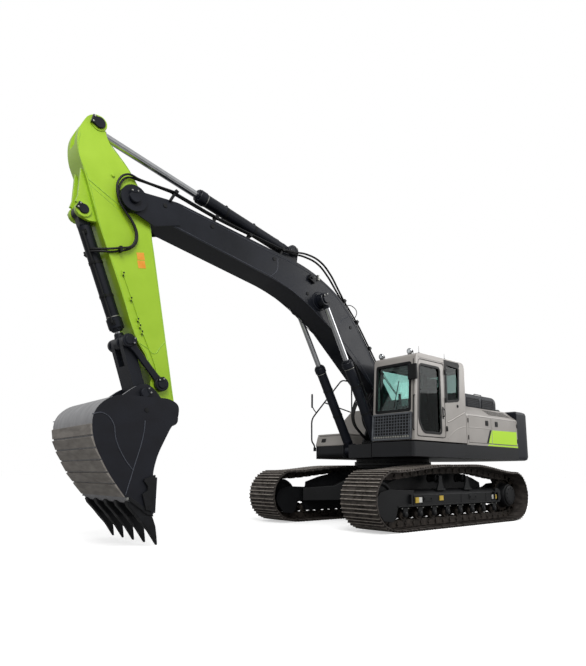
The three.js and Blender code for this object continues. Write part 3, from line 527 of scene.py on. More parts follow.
def tinted_glass(name, low, high, coat):
    """Green tinted safety glass: clear and glossy, with little bending of the light in so thin a pane."""
    material, shader = new_material(name, Roughness=0.0, IOR=1.12, Transmission_Weight=1.0, Coat_Weight=coat,
        Coat_Roughness=0.02)
    patterned(material, shader, low, high, 1.2)
    return material


GLASS = tinted_glass("tinted_safety_glass", "#B5D8D2", "#C0E1DB", 0.8)
SHADE_GLASS = tinted_glass("dark_tinted_side_glass", "#5F716E", "#6A7D79", 0.2)


# %% Woven seat cover
def woven(name, low, high, thread):
    """A plain weave: two crossed sets of threads, each a wave of one thread's width."""
    material, shader = new_material(name, Roughness=0.85, Sheen_Weight=0.25, Sheen_Roughness=0.6)
    patterned(material, shader, low, high, 30.0)
    place = add_node(material, "ShaderNodeTexCoord")
    waves = [add_node(material, "ShaderNodeTexWave",
        {"Vector": place.outputs["Object"], "Scale": 1 / thread / 20, "Distortion": 0.6},
        bands_direction=axis) for axis in "YZ"]
    both = add_node(material, "ShaderNodeMath", {0: waves[0].outputs["Fac"], 1: waves[1].outputs["Fac"]},
        operation="MULTIPLY")
    bump = add_node(material, "ShaderNodeBump", {"Height": both.outputs["Value"], "Strength": 0.6,
        "Distance": 0.002})
    material.node_tree.links.new(bump.outputs["Normal"], shader.inputs["Normal"])
    return material


SEAT_CLOTH = woven("woven_seat_cover", "#1B1C1F", "#26272B", 0.004)  # threads of 4 mm, so that they show
print("finishes:", len(bpy.data.materials))

# %% [markdown]
# ## Floor, backdrop and light
# The floor and the world are pale for the camera and for reflections, and the object is lit by a
# soft dome of plain strength, a large key from the front left and a weak fill.

# %% Stage
def stage_floor():
    clear_selection()
    bpy.ops.mesh.primitive_plane_add(size=400, location=(0, 0, -0.002))
    floor = settle(bpy.context.object)
    floor.name = "floor"
    material, shader = new_material("white_studio_floor", Roughness=0.9, Emission_Color=(1, 1, 1, 1))
    path = add_node(material, "ShaderNodeLightPath")
    glow = add_node(material, "ShaderNodeMath", {0: path.outputs["Is Camera Ray"], 1: 0.5},
        operation="MULTIPLY")
    tone = add_node(material, "ShaderNodeMix", {"Factor": path.outputs["Is Camera Ray"], "A": srgb("#8E8E8E"),
        "B": srgb("#F4F4F4")}, data_type="RGBA")
    link = material.node_tree.links.new
    link(glow.outputs["Value"], shader.inputs["Emission Strength"])
    link(tone.outputs["Result"], shader.inputs["Base Color"])
    floor.data.materials.append(material)
    return floor


def studio_world():
    """White for the camera and through glass, a plain grey dome as light."""
    world = bpy.data.worlds.new("studio")
    world.use_nodes = True
    bpy.context.scene.world = world
    background = world.node_tree.nodes["Background"]
    background.inputs["Color"].default_value = (1, 1, 1, 1)
    path = add_node(world, "ShaderNodeLightPath")
    seen = add_node(world, "ShaderNodeMath",
        {0: path.outputs["Is Camera Ray"], 1: path.outputs["Is Transmission Ray"]}, operation="MAXIMUM")
    strength = add_node(world, "ShaderNodeMapRange", {"Value": seen.outputs["Value"], "To Min": 0.55,
        "To Max": 1.0})
    world.node_tree.links.new(strength.outputs["Result"], background.inputs["Strength"])


def softbox(name, place, aim, size, power):
    """A square area lamp turned towards a point."""
    data = bpy.data.lights.new(name, "AREA")
    data.shape = "SQUARE"
    data.size = size
    data.energy = power
    light = bpy.data.objects.new(name, data)
    bpy.context.collection.objects.link(light)
    light.location = place
    light.rotation_euler = (Vector(aim) - Vector(place)).to_track_quat("-Z", "Y").to_euler()


stage_floor()
studio_world()
softbox("key", (9, 9, 13), (0, 0, 1.5), 7, 1350)
softbox("fill", (-11, 8, 8), (-1, 0, 1.5), 8, 600)
bpy.context.scene.view_settings.view_transform = "Standard"
print("stage and lamps ready")

# %% [markdown]
# ## Dressing the CAD steelwork
# Where a imported node already has the right shape, a copy of it is merged, its flat faces are made whole and its
# edges are rounded, as a press brake or a grinder leaves them. Its body is looked up in the record, so that the
# copy can't end up on the wrong part.

# %% Dress a node
BODY_OF = {node: body for body, nodes in frame["record"]["behaviour"]["bodies"].items() for node in nodes}


def dressed(node, material, radius=0.006, segments=2, angle=28):
    """A finished copy of a node, with rounded edges, that stands for it."""
    made = cad_copy(node, node + "_finished")
    if radius:
        softened(made, radius, segments, angle)
    give(made, BODY_OF[node], material)
    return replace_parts(made, node)


def finish(parts, name, material, body="house", place=None, smooth=35):
    """Joins parts, moves them from the frame they were made in, and hands them to their body."""
    made = moved(joined(list(parts), name), place or PLACE_OF.get(body, MACHINE))
    return give(made, body, material, smooth)


HOUSE_PLATES = {"counterweight": (CHARCOAL, 0.022), "left_body": (SILVER, 0.012),
    "right_body": (SILVER, 0.012), "fuel_tank": (SILVER, 0.014), "hydraulic_tank": (SILVER, 0.014),
    "left_front_door": (SILVER, 0.008), "left_rear_door": (SILVER, 0.008), "right_side_door": (SILVER, 0.008),
    "fire_wall": (CHARCOAL, 0.004), "engine_block": (FRAME_BLACK, 0.02), "engine_hood": (CHARCOAL, 0.02),
    "tool_box": (SILVER, 0.008), "tool_box_lid": (SILVER, 0.008), "cab_shell": (SILVER, 0.018),
    "cab_door": (SILVER, 0.008), "boom": (CHARCOAL, 0.008), "arm": (LIME, 0.008),
    "center_frame": (FRAME_BLACK, 0.01), "slew_ring": (FRAME_BLACK, 0.006), "h_link": (CHARCOAL, 0.01),
    "cab_mirror": (PLASTIC, 0.012), "control_console": (PLASTIC, 0.012)}
for node, (material, radius) in HOUSE_PLATES.items():
    dressed(node, material, radius)


def rounded_deck():
    """The deck, whose right front corner is rolled up from its underside."""
    made = cad_copy("deck_frame", "deck_frame_finished")
    select_parts(made, "EDGE", lambda middle, along: abs(along.y) > 0.9 and middle.z < 1.3 and middle.x > -1.1
        and middle.y < -0.4)
    bpy.ops.mesh.bevel(offset=0.12, segments=6, affect="EDGES")
    leave_edit()
    softened(made, 0.008, 2, 28)
    give(made, "house", SKIRT)
    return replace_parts(made, "deck_frame")


rounded_deck()
print("dressed nodes:", len(HOUSE_PLATES) + 1)

# %% [markdown]
# ## Track chains
# Each track is an endless chain of fifty pitches. A pitch is a rolled shoe with three grouser bars,
# bolted to a left and a right forged link, which a bushed pin joins to the next pair. The CAD has
# one closed loop for it. Here one pitch is modelled and copied along the same loop: flat on the
# ground, round the idler, over the two carrier rollers and round the sprocket.

# %% The loop that the grouser tips follow
IDLER, SPROCKET, TIP_RADIUS = Vector((2.0, 0.52)), Vector((-2.04, 0.515)), 0.49
CARRIERS = [Vector((0.4, 1.124)), Vector((-0.5, 1.138))]
TRACK_Y, SHOE_WIDTH, PITCHES = 1.295, 0.8, 50


def hermite(a, heading_a, b, heading_b, steps=40):
    """Points of a smooth curve that leaves a and reaches b in the given directions."""
    size = (b - a).length
    points = []
    for i in range(steps):
        t = i / steps
        points.append(a * (2 * t**3 - 3 * t**2 + 1) + heading_a * size * (t**3 - 2 * t**2 + t)
            + b * (3 * t**2 - 2 * t**3) + heading_b * size * (t**3 - t**2))
    return points


def arc(middle, radius, start, end, steps=60):
    """Points on an arc between two angles in degrees."""
    turns = [radians(start + (end - start) * i / steps) for i in range(steps)]
    return [middle + Vector((cos(t), sin(t))) * radius for t in turns]


def track_loop():
    """The closed loop, from the ground's rear end forwards, then back over the top."""
    ground = [Vector((-1.5, 0)), Vector((1.5, 0))]
    front = arc(IDLER, TIP_RADIUS, -75, 90)
    rear = arc(SPROCKET, TIP_RADIUS, 90, 255)
    along, back = Vector((1, 0)), Vector((-1, 0))
    up = Vector((sin(radians(75)), cos(radians(75))))
    down = Vector((up.x, -up.y))
    idler_top, sprocket_top = IDLER + Vector((0, TIP_RADIUS)), SPROCKET + Vector((0, TIP_RADIUS))
    return (hermite(ground[0], along, ground[1], along) + hermite(ground[1], along, front[0], up, 12) + front
        + hermite(idler_top, back, CARRIERS[0], back) + hermite(CARRIERS[0], back, CARRIERS[1], back)
        + hermite(CARRIERS[1], back, sprocket_top, back) + rear
        + hermite(SPROCKET + TIP_RADIUS * Vector((cos(radians(255)), sin(radians(255)))), down, ground[0],
        along, 12))


def pitch_places(side):
    """One matrix for each pitch: X along the chain, Z from the grouser tips in to the rail."""
    loop = track_loop()
    spans = [(b - a).length for a, b in zip(loop, loop[1:] + loop[:1])]
    pitch = sum(spans) / PITCHES
    places, reached, i = [], 0.0, 0
    for count in range(PITCHES):
        wanted = (count + 0.5) * pitch
        while reached + spans[i] < wanted:
            reached += spans[i]
            i += 1
        a, b = loop[i], loop[(i + 1) % len(loop)]
        here = a.lerp(b, (wanted - reached) / spans[i])
        place = Matrix.Translation((here.x + SLEW_X, side * TRACK_Y, here.y))
        places.append(place @ heading((b - a).normalized()))
    return places, pitch


PLACES_LEFT, PITCH = pitch_places(1)
PLACES_RIGHT, _ = pitch_places(-1)
print("pitch:", round(PITCH * 1000), "mm,", PITCHES, "shoes a side")

# %% One shoe, its grousers, links and bolts
SHOE_BASE, RAIL_DEPTH = 0.028, 0.172


def shoe_plate():
    """A rolled shoe: a flat plate whose trailing lip is bent in under the next shoe."""
    half = PITCH / 2
    section = [(-half + 0.004, 0.045), (-half + 0.016, 0.028), (half - 0.022, 0.028), (half - 0.004, 0.04),
        (half + 0.004, 0.056), (half - 0.012, 0.05), (half - 0.028, 0.041), (-half + 0.012, 0.042)]
    return drawn(section, -SHOE_WIDTH / 2, SHOE_WIDTH / 2, bevel=0.003)


def grouser(x):
    """One grouser: a bar with leaning flanks, its ends cut back."""
    made = block((x - 0.016, -SHOE_WIDTH / 2 + 0.004, 0.001), (x + 0.016, SHOE_WIDTH / 2 - 0.004, 0.032), 0)
    select_parts(made, "FACE", lambda middle, normal: normal.z < -0.9)
    bpy.ops.transform.resize(value=(0.5, 0.985, 1), center_override=(x, 0, 0.001))
    leave_edit()
    return softened(made, 0.0025, 1)


def grouser_edge(x):
    """The bright strip that the ground polishes along a grouser's tip."""
    made = block((x - 0.0075, -SHOE_WIDTH / 2 + 0.01, -0.0008), (x + 0.0075, SHOE_WIDTH / 2 - 0.01, 0.003), 0)
    return softened(made, 0.0012, 1)


def link_plate(side):
    """A forged link: low eye at one end, high eye at the other, flat rail on top."""
    half = PITCH / 2
    near = side * 0.07
    outline = [(-half - 0.022, 0.08), (-half + 0.03, 0.052), (half - 0.045, 0.046), (half + 0.015, 0.07),
        (half + 0.026, 0.115), (half + 0.004, 0.158), (half - 0.05, RAIL_DEPTH), (-half + 0.06, RAIL_DEPTH),
        (-half - 0.008, 0.16), (-half - 0.03, 0.118)]
    return drawn(outline, near, near + side * 0.036, bevel=0.004)


def chain_parts():
    """The two links of a pitch with the bushing between them and the pin's ends."""
    half = PITCH / 2
    middle = 0.115
    parts = [link_plate(1), link_plate(-1)]
    parts.append(bar((half, -0.07, middle), (half, 0.07, middle), 0.034, 12, 0))
    parts.append(bar((half, -0.124, middle), (half, 0.124, middle), 0.021, 12, 0.002))
    return joined(parts, "links")


def shoe_bolts():
    """Four bolt heads on the ground side of a shoe, between the grousers."""
    turned_down = Matrix.Rotation(pi, 4, "X")
    places = [Matrix.Translation((x, y, SHOE_BASE)) @ turned_down for x in (-0.037, 0.037)
        for y in (-0.088, 0.088)]
    return copies(hex_bolt(0.015, 0.012), places, "shoe_bolts")

# %% Both tracks, shoe by shoe
def laid_along(part, places, name, material):
    """One part copied to every place of a track."""
    return give(copies(part, places, name), "undercarriage", material)


for side_name, places in (("left", PLACES_LEFT), ("right", PLACES_RIGHT)):
    shoes = laid_along(shoe_plate(), places, side_name + "_track_shoes", SHOE_STEEL)
    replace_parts(shoes, side_name + "_track")
    bars = joined([grouser(x) for x in (-0.07, 0.0, 0.07)], "bars")
    laid_along(bars, places, side_name + "_grousers", SHOE_STEEL)
    edges = joined([grouser_edge(x) for x in (-0.07, 0.0, 0.07)], "edges")
    laid_along(edges, places, side_name + "_grouser_edges", GROUSER_STEEL)
    laid_along(chain_parts(), places, side_name + "_chain_links", CHAIN_STEEL)
    laid_along(shoe_bolts(), places, side_name + "_shoe_bolts", CHAIN_STEEL)
print("shoes on both tracks:", len(PLACES_LEFT) + len(PLACES_RIGHT))

# %% [markdown]
# ## Track frames, rollers and drives
# The side frame is a welded box with a sloping shoulder that sheds soil. Eight double-flanged
# rollers are bolted under it and two carrier rollers stand on it. The idler sits in guard plates at
# the front, and the sprocket turns round the final drive at the rear. They are drawn and turned
# again here, with flanges, bolts and end caps, and mirrored to the machine's other side.

# %% Frame beam
FRAME_IN, FRAME_OUT, FRAME_LOW, FRAME_HIGH = 1.1, 1.49, 0.39, 0.67
ROLLER_XS = [-1.47, -1.05, -0.63, -0.21, 0.21, 0.63, 1.05, 1.47]


def lengthways(points, x0, x1, bevel=0.005):
    """A section drawn in front view (y, z) and extruded along the machine."""
    made = drawn(points, x0, x1)
    made.data.transform(Matrix(((0, 1, 0, 0), (1, 0, 0, 0), (0, 0, 1, 0), (0, 0, 0, 1))))
    made.data.flip_normals()
    return softened(made, bevel, 2, 40) if bevel else made


def frame_beam():
    section = [(FRAME_IN, FRAME_LOW + 0.02), (FRAME_OUT, FRAME_LOW + 0.02), (FRAME_OUT, FRAME_HIGH - 0.09),
        (FRAME_OUT - 0.05, FRAME_HIGH - 0.03), (FRAME_OUT - 0.11, FRAME_HIGH), (FRAME_IN + 0.03, FRAME_HIGH),
        (FRAME_IN, FRAME_HIGH - 0.04)]
    parts = [lengthways(section, -1.6, 1.28)]
    parts.append(block((-1.64, FRAME_IN, FRAME_LOW), (1.7, FRAME_OUT + 0.012, FRAME_LOW + 0.024), 0.004))
    fork = [(1.25, FRAME_LOW + 0.01), (1.69, 0.385), (1.76, 0.2), (1.84, 0.155), (2.06, 0.18), (2.2, 0.33),
        (2.245, 0.43), (2.215, 0.57), (2.14, 0.645), (1.9, 0.69), (1.25, FRAME_HIGH - 0.004)]
    parts.append(drawn(fork, 1.462, FRAME_OUT, bevel=0.006))
    parts.append(drawn(fork, FRAME_IN, 1.128, bevel=0.006))
    parts.append(block((1.5, FRAME_IN, 0.42), (1.66, FRAME_OUT - 0.02, 0.63), 0.01))
    bracket = [(-1.5, 0.395), (-1.5, 0.668), (-1.66, 0.7), (-1.8, 0.755), (-2.05, 0.77), (-2.22, 0.72),
        (-2.3, 0.55), (-2.27, 0.38), (-2.1, 0.31), (-1.8, 0.33)]
    parts.append(drawn(bracket, FRAME_IN, FRAME_IN + 0.024, bevel=0.005))
    end = [(-1.5, 0.395), (-1.5, 0.668), (-1.64, 0.655), (-1.7, 0.6), (-1.72, 0.45), (-1.66, 0.4)]
    parts.append(drawn(end, FRAME_IN, FRAME_OUT, bevel=0.008))
    return parts


def frame_details():
    """Inspection covers, tie-down eyes, weld ledge and the step of the side frame."""
    parts = []
    for x in (0.86, -0.62):
        parts.append(block((x - 0.13, FRAME_OUT - 0.006, 0.47), (x + 0.13, FRAME_OUT + 0.012, 0.56), 0.005))
        parts += [bar((x + dx, FRAME_OUT, 0.515), (x + dx, FRAME_OUT + 0.024, 0.515), 0.014, 6, 0.002)
            for dx in (-0.1, 0.1)]
    for x in (1.38, -1.4):
        parts.append(block((x - 0.012, FRAME_OUT - 0.01, 0.44), (x + 0.012, FRAME_OUT + 0.05, 0.6), 0.006))
    for x in (1.02, -0.22, -1.12):
        parts.append(block((x - 0.008, FRAME_OUT - 0.004, FRAME_LOW + 0.02),
            (x + 0.008, FRAME_OUT + 0.006, FRAME_HIGH - 0.085), 0.003))
    return parts


def both_sides(parts, name, material, replaced=None):
    """Finishes a left-hand piece of the undercarriage and its mirrored twin on the right."""
    left = moved(joined(list(parts), "left_" + name), MACHINE)
    right = mirrored(left, "right_" + name)
    for made, side in ((left, "left"), (right, "right")):
        give(made, "undercarriage", material)
        if replaced:
            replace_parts(made, side + "_" + replaced)


both_sides(frame_beam(), "frame_beam", FRAME_BLACK, replaced="track_frame")
both_sides(frame_details(), "frame_details", FRAME_BLACK)

# %% Turned parts
ROLLER_R, ROLLER_Z = 0.084, 0.261


def turned_part(profile, x, z, y, sides=40):
    """A part turned on a lathe round a cross axis: profile is (distance along y, radius)."""
    clear_selection()
    bpy.ops.mesh.primitive_circle_add(vertices=sides, radius=1, fill_type="NOTHING")
    made = bpy.context.object
    edit_all()
    first = profile[0]
    bpy.ops.transform.resize(value=(first[1], first[1], 1), center_override=(0, 0, 0))
    bpy.ops.transform.translate(value=(0, 0, first[0]))
    bpy.ops.mesh.edge_face_add()
    for before, after in zip(profile, profile[1:]):
        ratio = after[1] / before[1]
        bpy.ops.mesh.extrude_region_move(TRANSFORM_OT_translate={"value": (0, 0, after[0] - before[0])})
        bpy.ops.transform.resize(value=(ratio, ratio, 1), center_override=(0, 0, after[0]))
    facing_out()
    turn = Matrix(((1, 0, 0, x), (0, 0, 1, y), (0, -1, 0, z), (0, 0, 0, 1)))
    return moved(made, turn)


def cheek_boss(s, profile, x, z, sides=40):
    """A turned boss on the left cheek, or with s = -1 on the right one."""
    return turned_part([(s * y, radius) for y, radius in profile], x, z, 0, sides)


def upright(profile, place, sides):
    """A turned part stood on a place, its profile given upwards."""
    return moved(turned_part(profile, 0, 0, 0, sides), Matrix.Translation(place)
        @ Matrix.Rotation(pi / 2, 4, "X"))

# %% Rollers
def track_roller(x):
    """A double-flanged track roller on its shaft, with a collar at each end."""
    r = ROLLER_R
    profile = [(-0.15, 0.05), (-0.15, r - 0.022), (-0.128, r - 0.01), (-0.126, r + 0.014),
        (-0.104, r + 0.014), (-0.1, r), (-0.05, r), (-0.044, r - 0.022), (0.044, r - 0.022), (0.05, r),
        (0.1, r), (0.104, r + 0.014), (0.126, r + 0.014), (0.128, r - 0.01), (0.15, r - 0.022), (0.15, 0.05)]
    return turned_part(profile, x, ROLLER_Z, TRACK_Y)


def roller_collars(x):
    """The two feet that hold a roller's axle under the frame."""
    parts = []
    for near, far in ((1.118, 1.162), (1.428, 1.474)):
        parts.append(drawn([(x - 0.062, 0.41), (x - 0.062, 0.3), (x - 0.045, 0.222), (x + 0.045, 0.222),
            (x + 0.062, 0.3), (x + 0.062, 0.41)], near, far, bevel=0.005))
        parts.append(block((x - 0.105, near, 0.372), (x + 0.105, far, 0.4), 0.004))
    parts.append(turned_part([(0, 0.046), (0.014, 0.046), (0.02, 0.036), (0.024, 0.014)], x, ROLLER_Z, 1.474,
        24))
    return parts


def carrier_roller(x, z):
    profile = [(-0.104, 0.03), (-0.104, 0.062), (-0.096, 0.08), (-0.05, 0.08), (-0.042, 0.064),
        (0.042, 0.064), (0.05, 0.08), (0.096, 0.08), (0.104, 0.062), (0.13, 0.052), (0.136, 0.02)]
    return turned_part(profile, x, z, TRACK_Y)


CARRIER_Z = 1.124 - 0.172 - 0.08
both_sides([track_roller(x) for x in ROLLER_XS], "track_rollers", CHAIN_STEEL)
both_sides(sum((roller_collars(x) for x in ROLLER_XS), []), "roller_collars", FRAME_BLACK)
both_sides([carrier_roller(middle.x, CARRIER_Z) for middle in CARRIERS], "carrier_rollers", FRAME_BLACK)
brackets = [part for middle in CARRIERS
    for part in (drawn([(middle.x - 0.12, 0.655), (middle.x - 0.055, 0.8), (middle.x - 0.05, 0.92),
    (middle.x + 0.05, 0.92), (middle.x + 0.055, 0.8), (middle.x + 0.12, 0.655)], 1.432, 1.462, bevel=0.005),
    block((middle.x - 0.13, 1.33, 0.652), (middle.x + 0.13, 1.475, 0.684), 0.005))]
both_sides(brackets, "carrier_brackets", FRAME_BLACK)
bolts = [Matrix.Translation((x + dx, FRAME_OUT - 0.03, FRAME_LOW - 0.018)) @ Matrix.Rotation(pi, 4, "X")
    for x in ROLLER_XS for dx in (-0.085, 0.085)]
both_sides([copies(hex_bolt(0.016, 0.014), bolts, "bolts")], "roller_bolts", ZINC)
print("rollers a side:", len(ROLLER_XS), "under the frame and", len(CARRIERS), "above it")

# %% Idler and sprocket
def idler_wheel():
    """A cast idler: a flanged rim, a thinner web and a hub."""
    rim = TIP_RADIUS - RAIL_DEPTH
    profile = [(-0.075, 0.1), (-0.075, rim - 0.09), (-0.1, rim - 0.06), (-0.1, rim - 0.022),
        (-0.052, rim - 0.02), (-0.05, rim - 0.002), (0.05, rim - 0.002), (0.052, rim - 0.02),
        (0.1, rim - 0.022), (0.1, rim - 0.06), (0.075, rim - 0.09), (0.075, 0.1), (0.15, 0.09), (0.165, 0.06)]
    return turned_part(profile, IDLER.x, IDLER.y, TRACK_Y, 64)


def sprocket_ring():
    """The toothed ring: a tooth for every second gap between the bushings."""
    teeth, root, tip = 21, 0.306, 0.35
    points = []
    for i in range(teeth * 6):
        turn = 2 * pi * (i / (teeth * 6))
        radius = {0: root, 1: root + 0.006, 2: tip - 0.014, 3: tip, 4: tip - 0.014, 5: root + 0.006}[i % 6]
        points.append((SPROCKET.x + radius * cos(turn), SPROCKET.y + radius * sin(turn)))
    return drawn(points, TRACK_Y - 0.034, TRACK_Y + 0.034, bevel=0.002)

# %% Final drive and its bolts
def final_drive():
    """The drive's stepped cover; its ring of bolts is made separately."""
    profile = [(-0.165, 0.15), (-0.165, 0.235), (-0.04, 0.24), (-0.038, 0.268), (0.04, 0.268), (0.06, 0.248),
        (0.17, 0.24), (0.2, 0.226), (0.206, 0.204), (0.232, 0.2), (0.246, 0.182), (0.252, 0.12),
        (0.254, 0.05)]
    return turned_part(profile, SPROCKET.x, SPROCKET.y, TRACK_Y, 64)


def bolt_ring(middle, radius, y, count, size, height):
    """Bolts in a circle on an outer face."""
    places = []
    for i in range(count):
        turn = 2 * pi * (i + 0.5) / count
        place = (middle.x + radius * cos(turn), y, middle.y + radius * sin(turn))
        places.append(looking(place, (0, 1, 0)))
    return copies(hex_bolt(size, height), places, "bolts")


both_sides([idler_wheel()], "idler_wheel", FRAME_BLACK, replaced="idler")
both_sides([sprocket_ring()], "sprocket_ring", CHAIN_STEEL, replaced="sprocket")
both_sides([final_drive()], "final_drive", FRAME_BLACK)
both_sides([bolt_ring(SPROCKET, 0.254, TRACK_Y + 0.04, 20, 0.014, 0.014),
    bolt_ring(SPROCKET, 0.15, TRACK_Y + 0.249, 10, 0.013, 0.01), bolt_ring(IDLER, 0.066, TRACK_Y + 0.16, 6,
    0.012, 0.01)], "drive_bolts", FRAME_BLACK)
TAG_OUT = FRAME_OUT + 0.016
both_sides([block((1.04, FRAME_OUT - 0.002, 0.455), (1.125, TAG_OUT, 0.545), 0.002),
    block((-1.43, FRAME_OUT - 0.002, 0.455), (-1.345, TAG_OUT, 0.54), 0.002)], "frame_tags_white", WHITE_TAG)
both_sides([block((1.13, FRAME_OUT - 0.002, 0.45), (1.22, TAG_OUT, 0.545), 0.002),
    block((0.39, FRAME_OUT - 0.002, 0.475), (0.5, TAG_OUT, 0.56), 0.002),
    block((-1.51, FRAME_OUT - 0.002, 0.455), (-1.435, TAG_OUT, 0.54), 0.002)], "frame_tags_yellow",
    YELLOW_TAG)
shield = [(-1.52, 0.205), (1.48, 0.205), (1.56, 0.4), (1.5, 0.78), (1.15, 0.88), (0.6, 0.985), (-0.7, 0.985),
    (-1.25, 0.88), (-1.55, 0.78), (-1.62, 0.4)]
both_sides([drawn(shield, 1.084, 1.096, 0.003)], "loop_shield", FRAME_BLACK)
ring_places = []
for i in range(36):
    turn = 2 * pi * i / 36
    ring_places.append(Matrix.Translation((0.783 * cos(turn), 0.783 * sin(turn), 1.17)))
finish([copies(hex_bolt(0.017, 0.018), ring_places, "bolts")], "slew_ring_bolts", FRAME_BLACK,
    "undercarriage")
print("idlers, sprockets and final drives fitted")

# %% [markdown]
# ## The cab
# The cab is a welded box of pressed pillars with bonded glass. What the eye picks out are the black
# borders baked onto the glass, the rubber seals, the grille in front of the lower pane, the mirror
# and the lamps. A border is drawn as the pane's outline, inset, opened in the middle and given
# thickness; the same function makes every seal and frame on the machine.

# %% Borders and seals
def ring_drawn(points, width, depth, round_by=0.0, bevel=0.003):
    """A frame with the outline of the points in the XZ plane, so wide, from y = 0 to y = depth."""
    made = outlined(points, 0, round_by)
    bpy.ops.mesh.inset(thickness=width)
    bpy.ops.mesh.delete(type="FACE")
    bpy.ops.mesh.select_all(action="SELECT")
    bpy.ops.mesh.extrude_region_move(TRANSFORM_OT_translate={"value": (0, depth, 0)})
    facing_out()
    if bevel:
        softened(made, bevel, 1, 50)
    return made


def bent_pipe(points, radius, bend=0.08, sides=12, segments=6):
    """A pipe of straight runs with a round bend at each corner, as a pipe bender makes it."""
    places = [Vector(points[0])]
    for before, here, after in zip(points, points[1:], points[2:]):
        before, here, after = Vector(before), Vector(here), Vector(after)
        room = min(bend, (before - here).length * 0.49, (after - here).length * 0.49)
        start, end = here + (before - here).normalized() * room, here + (after - here).normalized() * room
        for i in range(segments + 1):
            t = i / segments
            places.append(start * (1 - t) ** 2 + here * 2 * t * (1 - t) + end * t * t)
    return tube("POLY", [*places, Vector(points[-1])], radius, sides)


CAB_FOOT, CAB_LOW, CAB_RAKE = 1.197, 1.555, 0.061
CAB_LEFT, CAB_RIGHT, CAB_TOP, CAB_REAR = 1.5, 0.505, 3.17, -0.5


def cab_front(z):
    return CAB_FOOT - (z - CAB_LOW) * CAB_RAKE


def on_front(y, z, out=0.0):
    """A point on the leaning front of the cab, so far out from it."""
    size = hypot(1, CAB_RAKE)
    return Vector((cab_front(z) + out / size, y, z + out * CAB_RAKE / size))


def columns(across, out, up, start):
    """A matrix that takes X, Y and Z to three directions, from a starting point."""
    return Matrix((*zip(across, out, up, start), (0, 0, 0, 1)))


def front_matrix(z):
    """Takes a part drawn in XZ (x across the machine, y outwards) onto the cab's leaning front."""
    up = Vector((-CAB_RAKE, 0, 1)).normalized()
    out = Vector((1, 0, CAB_RAKE)).normalized()
    return columns(Vector((0, 1, 0)), out, up, on_front(0, z))


LEAN = hypot(1, CAB_RAKE)
DOOR_PANE = [(0.36, 1.695), (0.925, 1.695), (1.063, 1.91), (0.999, 2.965), (0.36, 2.965)]
QUARTER_PANE = [(-0.262, 2.38), (0.162, 2.318), (0.162, 3.085), (-0.3, 3.06)]

# %% Window borders
windscreen_outline = [(0.562, 0.0), (1.408, 0.0), (1.408, 0.935 * LEAN), (0.562, 0.935 * LEAN)]
border = moved(ring_drawn(windscreen_outline, 0.052, 0.009, 0.05), front_matrix(2.075))
finish([border], "windscreen_border", PLASTIC)
# the lower pane is a solid black plate: painted shade of the dark cab behind the glass
lower_pane_painted_shade = moved(drawn([(0.562, 0.0), (1.408, 0.0), (1.408, 0.47 * LEAN), (0.562, 0.47 * LEAN)], 0.001,
    0.007, 0.002, 0.03), front_matrix(1.585))
finish([lower_pane_painted_shade], "lower_pane_painted_shade", PLASTIC)


def side_ring(points, width, y, depth, name, body, round_by=0.06, material=PLASTIC):
    """A border or seal that stands on a side of the machine."""
    made = moved(ring_drawn(points, width, depth, round_by), Matrix.Translation((0, y, 0)))
    return finish([made], name, material, body)


def grown(points, by):
    """An outline moved outwards from its middle by a distance on each axis."""
    middle = sum((Vector(p) for p in points), Vector((0, 0))) / len(points)
    return [(x + copysign(by, x - middle.x), z + copysign(by, z - middle.y)) for x, z in points]


side_ring(grown(DOOR_PANE, 0.018), 0.048, CAB_LEFT - 0.002, 0.008, "door_window_border", "cab_door", 0.09)
side_ring(grown(QUARTER_PANE, 0.016), 0.05, CAB_LEFT - 0.002, 0.008, "quarter_window_border", "house", 0.07)
roof_column = drawn([(-0.3, 3.03), (0.21, 3.05), (0.21, 3.15), (-0.29, 3.15), (-0.33, 3.1)], CAB_LEFT - 0.003,
    CAB_LEFT + 0.004, 0.002, 0.012)
finish([roof_column], "roof_column_panel", PLASTIC)
finish([block((0.166, CAB_LEFT - 0.012, 2.31), (0.208, CAB_LEFT + 0.002, 3.14), 0.003)], "pillar_trim",
    PLASTIC)
right_pane = [(-0.33, 2.0), (1.03, 2.0), (0.985, 3.0), (-0.33, 3.0)]
side_ring(grown(right_pane, 0.014), 0.045, CAB_RIGHT - 0.006, 0.008, "right_window_border", "house", 0.07)
rear_ring = ring_drawn([(0.625, 2.225), (1.405, 2.225), (1.405, 3.015), (0.625, 3.015)], 0.045, 0.008, 0.06)
moved(rear_ring, Matrix(((0, -1, 0, CAB_REAR + 0.002), (1, 0, 0, 0), (0, 0, 1, 0), (0, 0, 0, 1))))
finish([rear_ring], "rear_window_border", PLASTIC)
for node in ("door_glass", "quarter_glass", "windscreen", "right_glass", "rear_glass"):
    dressed(node, SHADE_GLASS if node in ("door_glass", "quarter_glass") else GLASS, 0.0)
print("cab glazed")

# %% Door furniture, steps and handles
door_outline = [(0.222, 1.621), (1.126, 1.621), (1.038, 3.059), (0.222, 3.059)]
side_ring(door_outline, 0.012, CAB_LEFT - 0.0015, 0.004, "door_seal", "cab_door", 0.07, RUBBER)
handle = [bent_pipe([(0.295, CAB_LEFT + 0.002, 2.02), (0.295, CAB_LEFT + 0.045, 2.04),
    (0.295, CAB_LEFT + 0.045, 2.16), (0.295, CAB_LEFT + 0.002, 2.18)], 0.009, 0.02),
    block((0.275, CAB_LEFT - 0.004, 1.985), (0.315, CAB_LEFT + 0.006, 2.215), 0.004)]
finish(handle, "door_handle", PLASTIC, "cab_door")
hinges = [part for z in (1.8, 2.35, 2.9)
    for part in (bar((0.204, CAB_LEFT + 0.016, z - 0.05), (0.204, CAB_LEFT + 0.016, z + 0.05), 0.013, 16,
    0.003), block((0.15, CAB_LEFT - 0.002, z - 0.035), (0.204, CAB_LEFT + 0.008, z + 0.035), 0.003))]
finish(hinges, "door_hinges", POWDER)
